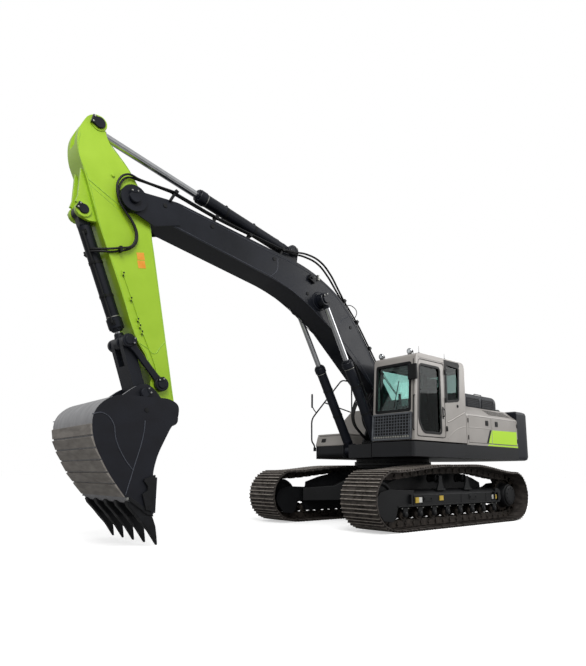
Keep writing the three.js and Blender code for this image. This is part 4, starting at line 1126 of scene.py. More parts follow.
lock = turned_part([(0, 0.03), (0.01, 0.03), (0.014, 0.024), (0.016, 0.012)], -0.21, 2.27, CAB_LEFT - 0.002,
    32)
finish([lock], "door_catch", PLASTIC)
grab = [
    bent_pipe([on_front(1.47, z, d) + Vector((-0.02, 0.012, 0))
    for z, d in ((1.72, 0.0), (1.74, 0.05), (2.35, 0.05), (2.37, 0.0))], 0.012, 0.03)]
finish(grab, "entry_handrail", POWDER)
finish([bar(on_front(1.452, 2.08, -0.001), on_front(1.452, 3.05, -0.001), 0.009, 12, 0.002)],
    "front_pillar_seal", RUBBER)


# %% [markdown]
# ### Grille, mirror, lamps and wiper
# The lower windscreen is guarded by a grille of flat bars in a frame, with a row of slots along its
# foot. The bars are modelled one across and one up, and repeated at their pitch of about 65 mm.

# %% Lower grille
def grille():
    wide, high = (0.515, 1.445), 0.495 * LEAN
    parts = [ring_drawn([(wide[0], 0), (wide[1], 0), (wide[1], high), (wide[0], high)], 0.034, 0.03, 0.012)]
    count_across, count_up = 14, 7
    for i in range(1, count_across):
        x = wide[0] + (wide[1] - wide[0]) * i / count_across
        parts.append(block((x - 0.006, 0.01, 0.085), (x + 0.006, 0.022, high - 0.02), 0.002, 1))
    for i in range(0, count_up + 1):
        z = 0.085 + (high - 0.105) * i / count_up
        parts.append(block((wide[0] + 0.01, 0.014, z - 0.006), (wide[1] - 0.01, 0.026, z + 0.006), 0.002, 1))
    return parts


def grille_slots():
    """The bright slots along the grille's foot, between short bars."""
    parts = []
    for i in range(15):
        x = 0.585 + 0.0565 * i
        parts.append(block((x - 0.017, 0.012, 0.036), (x + 0.017, 0.036, 0.07), 0.004, 1))
    return parts


guard_place = front_matrix(1.562) @ Matrix.Translation((0, 0.012, 0))
guard = finish([moved(joined(grille(), "grille"), guard_place)], "windscreen_grille", GRATING)
# a dark sheet behind the grille bars: painted shade of the dark cab behind them
shade_sheet = moved(block((0.52, -0.01, 0.03), (1.44, -0.004, 0.48), 0), guard_place)
finish([shade_sheet], "grille_painted_shade", PAINTED_SHADE)
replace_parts(guard, "windscreen_guard")
finish([moved(joined(grille_slots(), "slots"), guard_place)], "grille_foot_studs", ZINC)
stays = [moved(block((y - 0.012, -0.014, z), (y + 0.012, 0.016, z + 0.06), 0.003), guard_place)
    for y in (0.54, 1.43) for z in (0.1, 0.4)]
finish(stays, "grille_stays", POWDER)

# %% Mirror, wiper, lamps and antennas
finish([block((1.211, 1.397, 2.657), (1.215, 1.568, 2.923), 0.002)], "cab_mirror_rim", PLASTIC)
finish([block((1.1605, 1.4, 2.66), (1.1655, 1.566, 2.92), 0.002)], "cab_mirror_glass", MIRROR_GLASS)
mirror_arms = [bent_pipe([on_front(1.44, z, 0.0), Vector((1.18, 1.47, z))], 0.009, 0.02) for z in (2.7, 2.88)]
finish(mirror_arms, "cab_mirror_arms", POWDER)


def wiper():
    pivot, tip = on_front(0.7, 2.86, 0.016), on_front(1.08, 2.4, 0.02)
    blade_low, blade_high = on_front(1.02, 2.16, 0.012), on_front(1.13, 2.66, 0.012)
    return [bar(pivot, tip, 0.007, 8, 0), bar(on_front(0.7, 2.86, -0.01), on_front(0.7, 2.86, 0.026), 0.018,
        16, 0.003), bar(blade_low, blade_high, 0.008, 8, 0),
        bar(on_front(0.74, 2.85, 0.013), on_front(1.07, 2.44, 0.017), 0.005, 8, 0)]


finish(wiper(), "windscreen_wiper", PLASTIC)


def work_lamp(place, towards=(1, 0, 0), size=0.052):
    """A round lamp: a turned bowl, a rim ring and a lens; its stirrup foot is made separately. Returns bowl, rim
    and lens parts.
    """
    turn = looking(place, towards)
    y_up = Matrix(((1, 0, 0, 0), (0, 0, -1, 0), (0, 1, 0, 0), (0, 0, 0, 1)))
    bowl = turned_part([(-0.06, 0.018), (-0.056, 0.03), (-0.03, size * 0.92), (0, size), (0.016, size)], 0, 0,
        0, 32)
    rim = turned_part([(0.01, size + 0.004), (0.02, size + 0.004), (0.026, size - 0.002),
        (0.026, size - 0.008)], 0, 0, 0, 32)
    lens = turned_part([(0.012, size - 0.004), (0.022, size - 0.008), (0.027, size * 0.5)], 0, 0, 0, 32)
    return [moved(part, turn @ y_up) for part in (bowl, rim, lens)]


LAMP_X, LAMP_YS = 1.0, (0.6, 1.29)
lamps = [work_lamp((LAMP_X, y, 3.232)) for y in LAMP_YS]
feet = [bent_pipe([(LAMP_X - 0.025, y - 0.058, 3.235), (LAMP_X - 0.025, y - 0.062, 3.178),
    (LAMP_X - 0.025, y + 0.062, 3.178), (LAMP_X - 0.025, y + 0.058, 3.235)], 0.006, 0.012) for y in LAMP_YS]
feet += [block((LAMP_X - 0.055, y - 0.03, CAB_TOP - 0.02), (LAMP_X + 0.005, y + 0.03, CAB_TOP + 0.014), 0.004)
    for y in LAMP_YS]
finish([lamp[0] for lamp in lamps] + feet, "roof_lamp_housings", POWDER)
finish([lamp[1] for lamp in lamps], "roof_lamp_rims", LAMP_RIM)
finish([lamp[2] for lamp in lamps], "roof_lamp_lenses", LENS)
antennas = [bar((x, y, CAB_TOP - 0.01), (x, y, CAB_TOP + high), 0.005, 8, 0, 0.002)
    for x, y, high in ((0.92, 1.44, 0.15), (0.11, 1.45, 0.12))]
antennas += [upright([(0, 0.022), (0.02, 0.018), (0.03, 0.008)], (x, y, CAB_TOP - 0.002), 24)
    for x, y in ((0.92, 1.44), (0.11, 1.45))]
finish(antennas, "roof_antennas", PLASTIC)
hatch = [block((-0.1, 0.7, CAB_TOP - 0.004), (0.66, 1.3, CAB_TOP + 0.022), 0.012, 3),
    block((0.24, 0.96, CAB_TOP + 0.02), (0.32, 1.04, CAB_TOP + 0.036), 0.006)]
finish(hatch, "roof_hatch", SILVER)
gutter = [block((0.225, 1.496, 3.084), (1.02, 1.506, 3.096), 0.003)]
finish(gutter, "roof_gutter", SILVER)
print("cab trim fitted")

# %% [markdown]
# ### Seat and controls
# Behind the tinted glass sits a suspension seat with a headrest and armrests, and beside it two
# consoles with levers. The seat's cushions are foam under a woven cover, so they are crowned and
# their edges are soft: a block is inset and pushed out, then smoothed by subdivision.

# %% Seat
def cushion(low, high, axis, crown, name):
    """A crowned cushion: the face that carries the sitter is inset and raised, then all is smoothed."""
    made = block(low, high, 0)
    edit_all()
    bpy.ops.mesh.subdivide(number_cuts=3)
    leave_edit()
    wanted = Vector(axis)
    middle = (Vector(low) + Vector(high)) / 2
    size = (Vector(high) - Vector(low)) / 2
    select_parts(made, "FACE", lambda place, normal: normal.dot(wanted) > 0.9)
    bpy.ops.mesh.inset(thickness=0.02, depth=0.0)
    leave_edit()
    for vertex in made.data.vertices:
        place = vertex.co - middle
        share = [abs(place[i]) / size[i] if size[i] else 0 for i in range(3)]
        across = [share[i] for i in range(3) if abs(wanted[i]) < 0.5]
        if place.dot(wanted) > 0:
            vertex.co += wanted * crown * (1 - across[0] ** 2) * (1 - across[1] ** 2)
    with_modifier(made, "SUBSURF", levels=2, render_levels=2)
    made.name = name
    return made


lining = [block((-0.43, 0.585, 3.066), (1.03, 1.385, 3.094), 0.006),
    block((-0.43, 0.585, 1.617), (1.08, 1.385, 1.632), 0.004), block((-0.4, 0.567, 1.64), (0.98, 0.577, 2.02),
    0.003), block((-0.437, 0.6, 1.64), (-0.427, 1.38, 2.22), 0.003),
    block((0.985, 0.567, 2.05), (1.035, 0.62, 3.06), 0.008), block((1.08, 0.6, 1.64), (1.094, 1.38, 2.04),
    0.004), block((0.16, 1.38, 1.64), (0.2, 1.395, 3.06), 0.004)]
finish(lining, "cab_lining", PLASTIC)
SEAT_Y = 1.01
seat_pan = cushion((0.16, SEAT_Y - 0.24, 1.985), (0.62, SEAT_Y + 0.24, 2.095), (0, 0, 1), 0.035,
    "seat_cushion")
seat_back = cushion((0.02, SEAT_Y - 0.23, 2.09), (0.14, SEAT_Y + 0.23, 2.68), (1, 0, 0), 0.04, "seat_back")
head_rest = cushion((0.0, SEAT_Y - 0.13, 2.7), (0.09, SEAT_Y + 0.13, 2.86), (1, 0, 0), 0.03, "head_rest")
hip, BACK_LEAN = Matrix.Translation((0.1, 0, 2.09)), -8
lean_back = hip @ Matrix.Rotation(radians(BACK_LEAN), 4, "Y") @ hip.inverted()
moved(seat_back, lean_back)
moved(head_rest, lean_back)
for part, name in ((seat_pan, "seat_cushion"), (seat_back, "seat_back"), (head_rest, "head_rest")):
    finish([part], name, SEAT_CLOTH, smooth=60)
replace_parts(seat_pan, "operator_seat")
seat_base = [block((0.18, SEAT_Y - 0.2, 1.62), (0.52, SEAT_Y + 0.2, 1.7), 0.01),
    block((0.2, SEAT_Y - 0.17, 1.7), (0.5, SEAT_Y + 0.17, 1.9), 0.02),
    block((0.14, SEAT_Y - 0.23, 1.9), (0.6, SEAT_Y + 0.23, 1.975), 0.015)]
seat_base += [block((0.1, SEAT_Y + s * 0.3 - 0.035, 2.27), (0.42, SEAT_Y + s * 0.3 + 0.035, 2.31), 0.012)
    for s in (1, -1)]
seat_base += [bar((-0.03, SEAT_Y + s * 0.06, 2.62), (-0.05, SEAT_Y + s * 0.06, 2.76), 0.008, 12, 0)
    for s in (1, -1)]
finish(seat_base, "seat_base", PLASTIC)
monitor = [block((0.84, 0.62, 2.2), (0.88, 0.8, 2.36), 0.008), bar((0.86, 0.66, 2.06), (0.86, 0.69, 2.22),
    0.012, 12, 0)]
finish(monitor, "cab_monitor", PLASTIC)
levers = [part for s in (1, -1)
    for part in (bar((0.86, SEAT_Y + s * 0.1, 1.62), (0.8, SEAT_Y + s * 0.1, 2.16), 0.011, 12, 0),
    bar((0.805, SEAT_Y + s * 0.1, 2.1), (0.79, SEAT_Y + s * 0.1, 2.25), 0.02, 16, 0.006),
    block((0.82, SEAT_Y + s * 0.1 - 0.055, 1.62), (1.02, SEAT_Y + s * 0.1 + 0.055, 1.645), 0.006))]
finish(levers, "travel_levers", PLASTIC)
print("seat and controls in place")

# %% [markdown]
# ## Body panels
# The engine housing is pressed sheet steel on a welded deck. Pressed creases run along the side,
# two black pull latches hold the doors, a lime panel with a dark stripe covers the rear corner, and
# louvres let air in at the shoulder and through the hood. Whatever sits on a door rides the door.

# %% Creases, latches and the lime panel
HOUSE_Y, HOUSE_TOP, SHOULDER_Z, SHOULDER_Y = 1.49, 2.37, 2.15, 1.2


def crease(points, y, name, body, radius=0.011):
    """A pressed crease: a bead of which a few millimetres stand proud of the sheet."""
    made = hose([(x, y - radius * 0.55, z) for x, z in points], radius, 16, 10)
    return finish([made], name, SILVER, body, smooth=60)


crease([(0.155, 1.612), (0.02, 1.715), (-0.13, 1.795), (-0.3, 1.85), (-0.47, 1.876)], CAB_LEFT,
    "cab_side_crease", "house")
crease([(0.15, 1.93), (-0.02, 1.985), (-0.2, 2.06), (-0.47, 2.16)], CAB_LEFT, "cab_shoulder_crease", "house",
    0.018)
crease([(-0.605, 1.88), (-1.0, 1.889), (-1.462, 1.892)], HOUSE_Y, "front_door_crease", "left_front_door")
PANEL_TOP, PANEL_FOOT = 1.868, 1.59


def film(points, name, body, material=PANEL_LIME):
    """A painted panel that stands a few millimetres off the housing's left side."""
    finish([drawn(points, HOUSE_Y - 0.002, HOUSE_Y + 0.003, 0.001)], name, material, body)


film([(-1.476, PANEL_TOP), (-1.345, PANEL_FOOT), (-1.48, PANEL_FOOT)], "lime_panel_corner", "left_front_door")
film([(-1.502, PANEL_TOP), (-1.502, PANEL_FOOT), (-2.55, PANEL_FOOT), (-2.55, PANEL_TOP + 0.018)],
    "lime_panel", "left_rear_door")
film([(-1.48, PANEL_TOP), (-1.41, PANEL_TOP), (-1.27, PANEL_FOOT), (-1.34, PANEL_FOOT)], "panel_stripe",
    "left_front_door", CHARCOAL)
film([(-1.33, 1.566), (-1.312, 1.534), (-2.586, 1.534), (-2.586, 1.566)], "lime_sill", "house")


def latch(x, z, y, side):
    """A pull latch: a square black dish with a paddle in it."""
    near = side * y
    frame_part = ring_drawn([(x - 0.055, z - 0.055), (x + 0.055, z - 0.055), (x + 0.055, z + 0.055),
        (x - 0.055, z + 0.055)], 0.014, 0.01, 0.016, 0.002)
    moved(frame_part, Matrix.Translation((0, near - (0.002 if side > 0 else 0.008), 0)))
    dish = block((x - 0.048, near, z - 0.048), (x + 0.048, near + side * 0.004, z + 0.048), 0.001, 1)
    paddle = block((x - 0.03, near, z - 0.018), (x + 0.03, near + side * 0.009, z + 0.03), 0.004)
    return [frame_part, dish, paddle]


finish(latch(-1.295, 2.005, HOUSE_Y, 1), "front_door_latch", PLASTIC, "left_front_door")
finish(latch(-1.685, 2.005, HOUSE_Y, 1), "rear_door_latch", PLASTIC, "left_rear_door")
finish(latch(-1.74, 2.005, HOUSE_Y, -1), "right_door_latch", PLASTIC, "right_side_door")
door_hinges = []
for x in (-0.575, -2.575):
    for z in (1.68, 2.02):
        door_hinges.append(bar((x, HOUSE_Y + 0.006, z - 0.045), (x, HOUSE_Y + 0.006, z + 0.045), 0.009, 12,
            0.002))
for z in (1.68, 2.02):
    door_hinges.append(bar((-2.575, -HOUSE_Y - 0.006, z - 0.045), (-2.575, -HOUSE_Y - 0.006, z + 0.045),
        0.009, 12, 0.002))
finish(door_hinges, "body_door_hinges", POWDER)
print("side panels dressed")

# %% [markdown]
# ### Louvres
# A louvre is a slit with a pressed hood over it. One is modelled from a block whose lower front edge is pulled
# out, and a near-black block laid under it is painted shade in the slit. Rows of them stand on the sloping
# shoulder and on the hood's sides, so the function takes the matrix of the face they stand on.

# %% Louvres
def face_matrix(origin, across, up=(0, 0, 1)):
    """A frame for parts drawn in XZ with y standing out of a face."""
    across, up = Vector(across).normalized(), Vector(up).normalized()
    return columns(across, across.cross(up) * -1, up, Vector(origin))


def louvre_hood(long, high=0.02, out=0.016):
    """One louvre's hood, from its slit up, standing out at its lower edge."""
    made = block((-long / 2, -0.004, 0), (long / 2, 0.004, high), 0)
    select_parts(made, "VERT", lambda place, normal: place.y > 0 and place.z < high / 2)
    bpy.ops.transform.translate(value=(0, out, 0))
    leave_edit()
    return softened(made, 0.002, 1)


# a near-black block sunk in the slit: painted shade of the opening
def louvre_slit_shade(long, high=0.018):
    return block((-long / 2 + 0.004, -0.004, -high), (long / 2 - 0.004, 0.002, 0.001), 0)


def louvres(name, body, face, columns, rows, pitch, long, high, hood_material=CHARCOAL):
    """Rows of louvres on a face. Pitch is (across, up)."""
    places = []
    for column in range(columns):
        for row in range(rows):
            shift = ((column - (columns - 1) / 2) * pitch[0], 0, (row - (rows - 1) / 2) * pitch[1])
            places.append(face @ Matrix.Translation(shift))
    hoods = copies(louvre_hood(long, high * 0.55), places, name + "_hoods")
    finish([hoods], name + "_hoods", hood_material, body)
    # the dark blocks under the hoods are painted shade in the slits
    slit_shades = copies(louvre_slit_shade(long, high * 0.5), places, name + "_slit_shade")
    finish([slit_shades], name + "_slit_shade", PAINTED_SHADE, body)


slope_up = (0, SHOULDER_Y - HOUSE_Y, HOUSE_TOP - SHOULDER_Z)
left_slope = face_matrix((-1.96, (HOUSE_Y + SHOULDER_Y) / 2 + 0.001, (SHOULDER_Z + HOUSE_TOP) / 2 + 0.001),
    (-1, 0, 0), slope_up)
louvres("left_shoulder_louvre", "house", left_slope, 11, 4, (0.083, 0.052), 0.07, 0.036, SILVER)
right_slope = face_matrix((-2.06, -(HOUSE_Y + SHOULDER_Y) / 2 - 0.001, (SHOULDER_Z + HOUSE_TOP) / 2 + 0.001),
    (1, 0, 0), (0, HOUSE_Y - SHOULDER_Y, HOUSE_TOP - SHOULDER_Z))
louvres("right_shoulder_louvre", "house", right_slope, 9, 4, (0.083, 0.052), 0.07, 0.036, SILVER)
HOOD_LEFT, HOOD_RIGHT = 1.15, -1.05
for x, name in ((-1.37, "front"), (-1.96, "rear")):
    face = face_matrix((x, HOOD_LEFT + 0.001, 2.49), (-1, 0, 0))
    louvres("hood_left_louvre_" + name, "engine_hood", face, 1, 5, (0.5, 0.036), 0.46, 0.034)
    rim = ring_drawn([(x - 0.255, 2.392), (x + 0.255, 2.392), (x + 0.255, 2.59), (x - 0.255, 2.59)], 0.016,
        0.01, 0.02)
    moved(rim, Matrix.Translation((0, HOOD_LEFT - 0.002, 0)))
    finish([rim], "hood_left_rim_" + name, CHARCOAL, "engine_hood")
    face = face_matrix((x, HOOD_RIGHT - 0.001, 2.5), (1, 0, 0))
    louvres("hood_right_louvre_" + name, "engine_hood", face, 1, 5, (0.5, 0.036), 0.46, 0.034)
face = face_matrix((-1.029, 0.05, 2.5), (0, 1, 0))
louvres("hood_front_louvre", "engine_hood", face, 2, 4, (0.62, 0.042), 0.54, 0.036)
for y in (-0.45, 0.5):
    top = face_matrix((-1.68, y, 2.691), (0, 1, 0), (1, 0, 0))
    louvres("hood_top_louvre_" + ("left" if y > 0 else "right"), "engine_hood", top, 1, 9, (0.5, 0.07), 0.44,
        0.045)
grip = [bent_pipe([(-2.1, 0.92, 2.688), (-2.1, 0.92, 2.735), (-1.8, 0.92, 2.735), (-1.8, 0.92, 2.688)], 0.01,
    0.03)]
finish(grip, "hood_handle", POWDER, "engine_hood")
print("louvres pressed")

# %% [markdown]
# ### Counterweight, tanks, tool box and rails
# The counterweight is one heavy casting with lifting eyes. The tanks carry filler caps and a
# catwalk plate, the tool box a black paddle latch, and a bent tube rail climbs the right side to
# the mirror. The exhaust stack is turned with a real bore, so that its mouth is dark.

# %% Counterweight and tanks
TAIL_RADIUS = 3.45
eyes = []
for y in (-0.85, 0.85):
    eye_plate = drawn([(-2.8, 2.36), (-3.06, 2.36), (-3.02, 2.44), (-2.97, 2.475), (-2.89, 2.475),
        (-2.84, 2.44)], y - 0.022, y + 0.022, 0.006)
    ring = turned_part([(-0.03, 0.036), (-0.026, 0.044), (0.026, 0.044), (0.03, 0.036)], -2.93, 2.425, y, 32)
    eyes += [eye_plate, ring]
finish(eyes, "counterweight_eyes", CHARCOAL)
tail = []
for i in range(13):
    turn = pi + radians(-21 + 3.5 * i)
    tail.append((TAIL_RADIUS * cos(turn) - 0.004 * cos(turn), TAIL_RADIUS * sin(turn)))
for z, level in ((1.62, "low"), (2.02, "high")):
    finish([hose([(x, y, z) for x, y in tail], 0.012, 12, 6)], "counterweight_groove_" + level, SKIRT,
        smooth=60)
rear_face = face_matrix((-TAIL_RADIUS - 0.002, 0, 1.82), (0, -1, 0))
rear_fittings = [moved(ring_drawn([(-0.42, -0.13), (0.42, -0.13), (0.42, 0.13), (-0.42, 0.13)], 0.03, 0.02,
    0.04), rear_face)]
rear_fittings.append(moved(block((-0.05, 0.0, 0.3), (0.05, 0.045, 0.37), 0.012), rear_face))
finish(rear_fittings, "counterweight_rear_fittings", SKIRT)
caps = [upright([(0, 0.075), (0.02, 0.075), (0.035, 0.068), (0.05, 0.06), (0.055, 0.03)],
    (x, y, HOUSE_TOP - 0.002), 40) for x, y in ((-0.4, -0.95), (-1.15, -1.11))]
finish(caps, "tank_caps", PLASTIC)
tread = [block((-0.72, -1.14, HOUSE_TOP - 0.002), (-0.06, -0.66, HOUSE_TOP + 0.004), 0.001)]
tread += [bar((-0.7 + 0.055 * i, -1.13 + 0.06 * j, HOUSE_TOP + 0.002),
    (-0.7 + 0.055 * i, -1.13 + 0.06 * j, HOUSE_TOP + 0.009), 0.012, 8, 0) for i in range(12) for j in range(8)
    if abs(-0.7 + 0.055 * i + 0.4) > 0.09 or abs(-1.13 + 0.06 * j + 0.95) > 0.09]
finish(tread, "tank_tread_plate", POWDER)
lid_tread = [block((0.08, -1.42, 1.798), (0.7, -0.7, 1.803), 0.001)]
lid_tread += [bar((0.11 + 0.062 * i, -1.39 + 0.065 * j, 1.8), (0.11 + 0.062 * i, -1.39 + 0.065 * j, 1.808),
    0.013, 8, 0) for i in range(10) for j in range(11)]
finish(lid_tread, "tool_box_tread_plate", POWDER, "tool_box_lid")
box_face = face_matrix((0.812, -1.26, 1.66), (0, 1, 0), (-0.3, 0, 1))
box_latch = [moved(block((-0.07, -0.004, -0.045), (0.07, 0.012, 0.045), 0.008), box_face),
    moved(block((-0.045, 0.01, -0.02), (0.045, 0.024, 0.012), 0.005), box_face)]
finish(box_latch, "tool_box_latch", PLASTIC)
stack = upright([(0, 0.095), (0.012, 0.095), (0.04, 0.066), (0.06, 0.062), (0.33, 0.062), (0.33, 0.054),
    (0.15, 0.052), (0.148, 0.01)], (-2.05, -1.18, HOUSE_TOP), 40)
finish([stack], "exhaust_stack", POWDER)
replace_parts(bpy.data.objects["exhaust_stack"], "exhaust_pipe")

# %% Right handrail and its mirror
RAIL_Y, RAIL_R = -1.465, 0.017
rail_points = [(0.893, 1.475), (0.905, 1.56), (0.985, 1.64), (0.99, 2.13), (0.848, 2.287), (0.03, 3.134),
    (-0.306, 3.13), (-0.306, 2.19)]
rails = [bent_pipe([(x, RAIL_Y, z) for x, z in rail_points], RAIL_R, 0.1, 16, 8)]
rails.append(bent_pipe([(0.605, RAIL_Y, 2.545), (0.3, RAIL_Y, 2.49), (-0.306, RAIL_Y, 2.385)], RAIL_R * 0.9,
    0.05, 12))
rails.append(bent_pipe([(0.848, RAIL_Y, 2.287), (0.905, RAIL_Y - 0.005, 2.34), (0.958, RAIL_Y - 0.016, 2.42)],
    0.012, 0.03))
rails.append(block((0.8703, RAIL_Y - 0.025, 1.43), (0.915, RAIL_Y + 0.025, 1.515), 0.006))
rails.append(upright([(0, 0.04), (0.012, 0.04), (0.016, 0.03)], (-0.306, RAIL_Y, 2.178), 24))
railing = finish(rails, "right_rail", POWDER)
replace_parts(railing, "right_handrail")
shell = cushion((-0.016, -0.088, 0.004), (0.02, 0.088, 0.306), (-1, 0, 0), 0.0, "mirror_shell")
with_turn = Matrix.Translation((0.962, RAIL_Y - 0.02, 2.395)) @ Matrix.Rotation(radians(-42), 4, "Z")
finish([moved(shell, with_turn)], "right_mirror_shell", PLASTIC, smooth=60)
glass = block((-0.0205, -0.074, 0.022), (-0.012, 0.074, 0.288), 0.003)
finish([moved(glass, with_turn)], "right_mirror_glass", MIRROR_GLASS)
print("rails and mirror fitted")

# %% [markdown]
# ### Swing motor, valve block and deck hoses
# Between the boom's foot plates stand the swing motor and the control valve, with hoses that rise
# in loops to the boom. A hose that crosses a joint has one end on each body; such hoses are joined into one piece
# that is handed to neither body, so it stays where it is drawn when the house or the boom moves.

# %% Hoses between two bodies
def across(name, hoses, place, body_a, body_b, start, end, smooth=60):
    """Joins hoses that have one end on each of two bodies that a joint connects, shades them and gives them
    rubber; the piece is handed to neither body.
    """
    made = alone(moved(joined(hoses, name), place))
    bpy.ops.object.shade_smooth_by_angle(angle=radians(smooth))
    made.data.materials.clear()
    made.data.materials.append(RUBBER)
    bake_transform(made)


# %% Deck machinery
motor = [bar((-0.25, 0, 1.53), (-0.25, 0, 1.72), 0.2, 40, 0.012),
    bar((-0.25, 0, 1.72), (-0.25, 0, 1.98), 0.145, 40, 0.012), block((-0.4, -0.12, 1.98), (-0.1, 0.12, 2.1),
    0.015), bar((0.16, 0, 1.53), (0.16, 0, 1.64), 0.11, 32, 0.01)]
motor += [bar((-0.25 + 0.17 * cos(a), 0.17 * sin(a), 1.72), (-0.25 + 0.17 * cos(a), 0.17 * sin(a), 1.742),
    0.017, 6, 0.002) for a in [i * pi / 5 for i in range(10)]]
finish(motor, "swing_motor", FRAME_BLACK)
valve = [block((0.42, -0.24, 1.531), (0.7, 0.24, 1.59), 0.01), block((0.46, -0.2, 1.59), (0.66, 0.2, 1.62),
    0.008)]
valve += [bar((0.56, y, 1.62), (0.56, y, 1.645), 0.024, 6, 0.003) for y in (-0.15, -0.05, 0.05, 0.15)]
finish(valve, "deck_manifold", FRAME_BLACK)
HOSE_R = 0.016
deck_loops = []
for i, y in enumerate((-0.21, -0.14, -0.07, 0.07, 0.14, 0.21)):
    lean = 0.05 * (i % 3)
    deck_loops.append(hose([(0.6 - 0.02 * (i % 2), y * 0.8, 1.625), (0.8 + lean, y * 0.85, 1.76),
        (1.0 + lean, y, 2.02), (0.97 + lean * 0.6, y, 2.3), (0.86, y, 2.5), (0.8, y, 2.6)], HOSE_R, 12, 8))
across("deck_to_boom_hoses", deck_loops, MACHINE, "house", "boom", (0.85, 0, 1.78), (0.85, 0, 2.52), 50)
print("deck machinery fitted")

# %% [markdown]
# ## Hydraulic cylinders
# Each cylinder is turned round its own axis: a barrel with a bored gland at its mouth, a ring of
# socket bolts, an eye welded to its foot and a steel pipe clamped along it. The chromed rod slides
# in the bore and carries a forged eye. All four are modelled along +X from the foot's pin and then
# stood between their two pins.

# %% Cylinder parts
SPIN_TO_X = Matrix.Rotation(-pi / 2, 4, "Z")


def lathe(profile, sides=40):
    """A part turned round the X axis: profile is (distance along x, radius)."""
    return moved(turned_part(profile, 0, 0, 0, sides), SPIN_TO_X)


def hoop(start, end, outer, wall, sides=44):
    """A ring round the X axis between two distances along it."""
    circle = [(outer * cos(i * tau / sides), outer * sin(i * tau / sides)) for i in range(sides)]
    return moved(ring_drawn(circle, wall, end - start, 0, 0), Matrix.Translation((start, 0, 0)) @ SPIN_TO_X)


def eye_boss(x, radius, half, sides=36):
    """A cylinder's eye, as a round boss with broken edges."""
    edge = 0.012
    return turned_part([(-half, 0.03), (-half, radius - edge), (edge - half, radius), (half - edge, radius),
        (half, radius - edge), (half, 0.03)], x, 0, 0, sides)

# %% Barrels
def barrel(length, radius, eye, half, rod, head=0.15):
    """Barrel, gland, foot and eye. The head is the thicker part at the mouth."""
    thick = radius + 0.016
    mouth, bore, foot = length, rod + 0.004, radius + 0.08
    body = lathe([(foot + 0.03, 0.01), (foot + 0.03, bore), (mouth, bore), (mouth, bore + 0.014),
        (mouth - 0.012, bore + 0.02), (mouth - 0.014, radius - 0.01), (mouth - 0.05, radius - 0.008),
        (mouth - 0.052, thick - 0.006), (mouth - 0.06, thick), (mouth - head, thick),
        (mouth - head - 0.012, radius), (foot + 0.03, radius), (foot, radius - 0.025), (foot, 0.01)], 44)
    ring = hoop(mouth - head - 0.034, mouth - head - 0.022, radius + 0.005, 0.015)
    cheek = drawn([(0.02, -half * 0.9), (foot + 0.02, -radius * 0.86), (foot + 0.02, radius * 0.86),
        (0.02, half * 0.9)], -half + 0.006, half - 0.006, 0.012)
    bolts = []
    for i in range(8):
        turn = (i + 0.5) * pi / 4
        place = Vector((mouth - 0.052, (radius - 0.002) * cos(turn), (radius - 0.002) * sin(turn)))
        bolts.append(looking(place, (1, 0, 0)))
    return [body, cheek, eye_boss(0, eye, half), copies(hex_bolt(0.013, 0.02), bolts, "gland_bolts")], [ring]


def port_and_pipe(length, radius, side, head=0.15):
    """A block at the foot and one at the mouth, with a pipe between them along one side."""
    near, far, out = radius + 0.2, length - head + 0.06, radius + 0.034
    pipe = bent_pipe([(near, side * 0.02, radius - 0.01), (near, side * 0.02, out),
        (near + 0.07, side * 0.02, out), (far, side * 0.02, out), (far + 0.001, side * 0.02, radius + 0.01)],
        0.016, 0.04)
    parts = [pipe]
    for x in (near, far):
        parts.append(block((x - 0.034, side * 0.02 - 0.034, radius - 0.02),
            (x + 0.034, side * 0.02 + 0.034, radius + 0.022), 0.006))
    for x in (near + (far - near) * 0.33, near + (far - near) * 0.7):
        parts += [hoop(x - 0.018, x + 0.018, radius + 0.006, 0.016),
            block((x - 0.02, side * 0.02 - 0.026, radius), (x + 0.02, side * 0.02 + 0.026, out + 0.022),
            0.005)]
    return parts

# %% Rods
def rod_parts(reach, stored, rod, eye, half):
    """The chromed rod, and the forged eye on its end."""
    shaft = lathe([(reach - stored, 0.01), (reach - stored, rod), (reach - eye * 0.7, rod),
        (reach - eye * 0.7, 0.01)], 40)
    neck = lathe([(reach - eye - 0.045, rod - 0.004), (reach - eye - 0.045, rod + 0.012),
        (reach - eye - 0.02, rod + 0.016), (reach - eye * 0.55, min(eye * 0.8, half)),
        (reach - eye * 0.55, 0.02)], 36)
    return [shaft], [neck, eye_boss(reach, eye, half)]


def cylinder(prefix, base, eye_pin, sizes, y, bodies, nodes, pipe_side=None, pipe_turn=0.0):
    """Builds one cylinder between two pins and hands its pieces to their bodies."""
    length, radius, eye, half, rod, stored, head = sizes
    place = Matrix.Translation((0, y, 0)) @ side_frame(base, eye_pin)
    reach = (eye_pin - base).length
    black, bright = barrel(length, radius, eye, half, rod, head)
    barrel_piece = finish(black, prefix + "_barrel", CHARCOAL, bodies[0], place=place)
    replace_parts(barrel_piece, nodes[0])
    finish(bright, prefix + "_band", ZINC, bodies[0], place=place)
    if pipe_side is not None:
        turned = place @ Matrix.Rotation(pipe_turn, 4, "X")
        finish(port_and_pipe(length, radius, pipe_side, head), prefix + "_pipe", POWDER, bodies[0],
            place=turned)
    shaft, forged = rod_parts(reach, stored, rod, eye, half)
    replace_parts(finish(shaft, prefix + "_shaft", CHROME, bodies[1], place=place, smooth=40), nodes[1])
    finish(forged, prefix + "_rod_eye", CHARCOAL, bodies[1], place=place)

# %% The four cylinders in place
def point_on(frame_of, u, v):
    """The side-view place of a point given in the boom's or the arm's frame."""
    place = frame_of @ Vector((u, 0, v))
    return Vector((place.x, place.z))


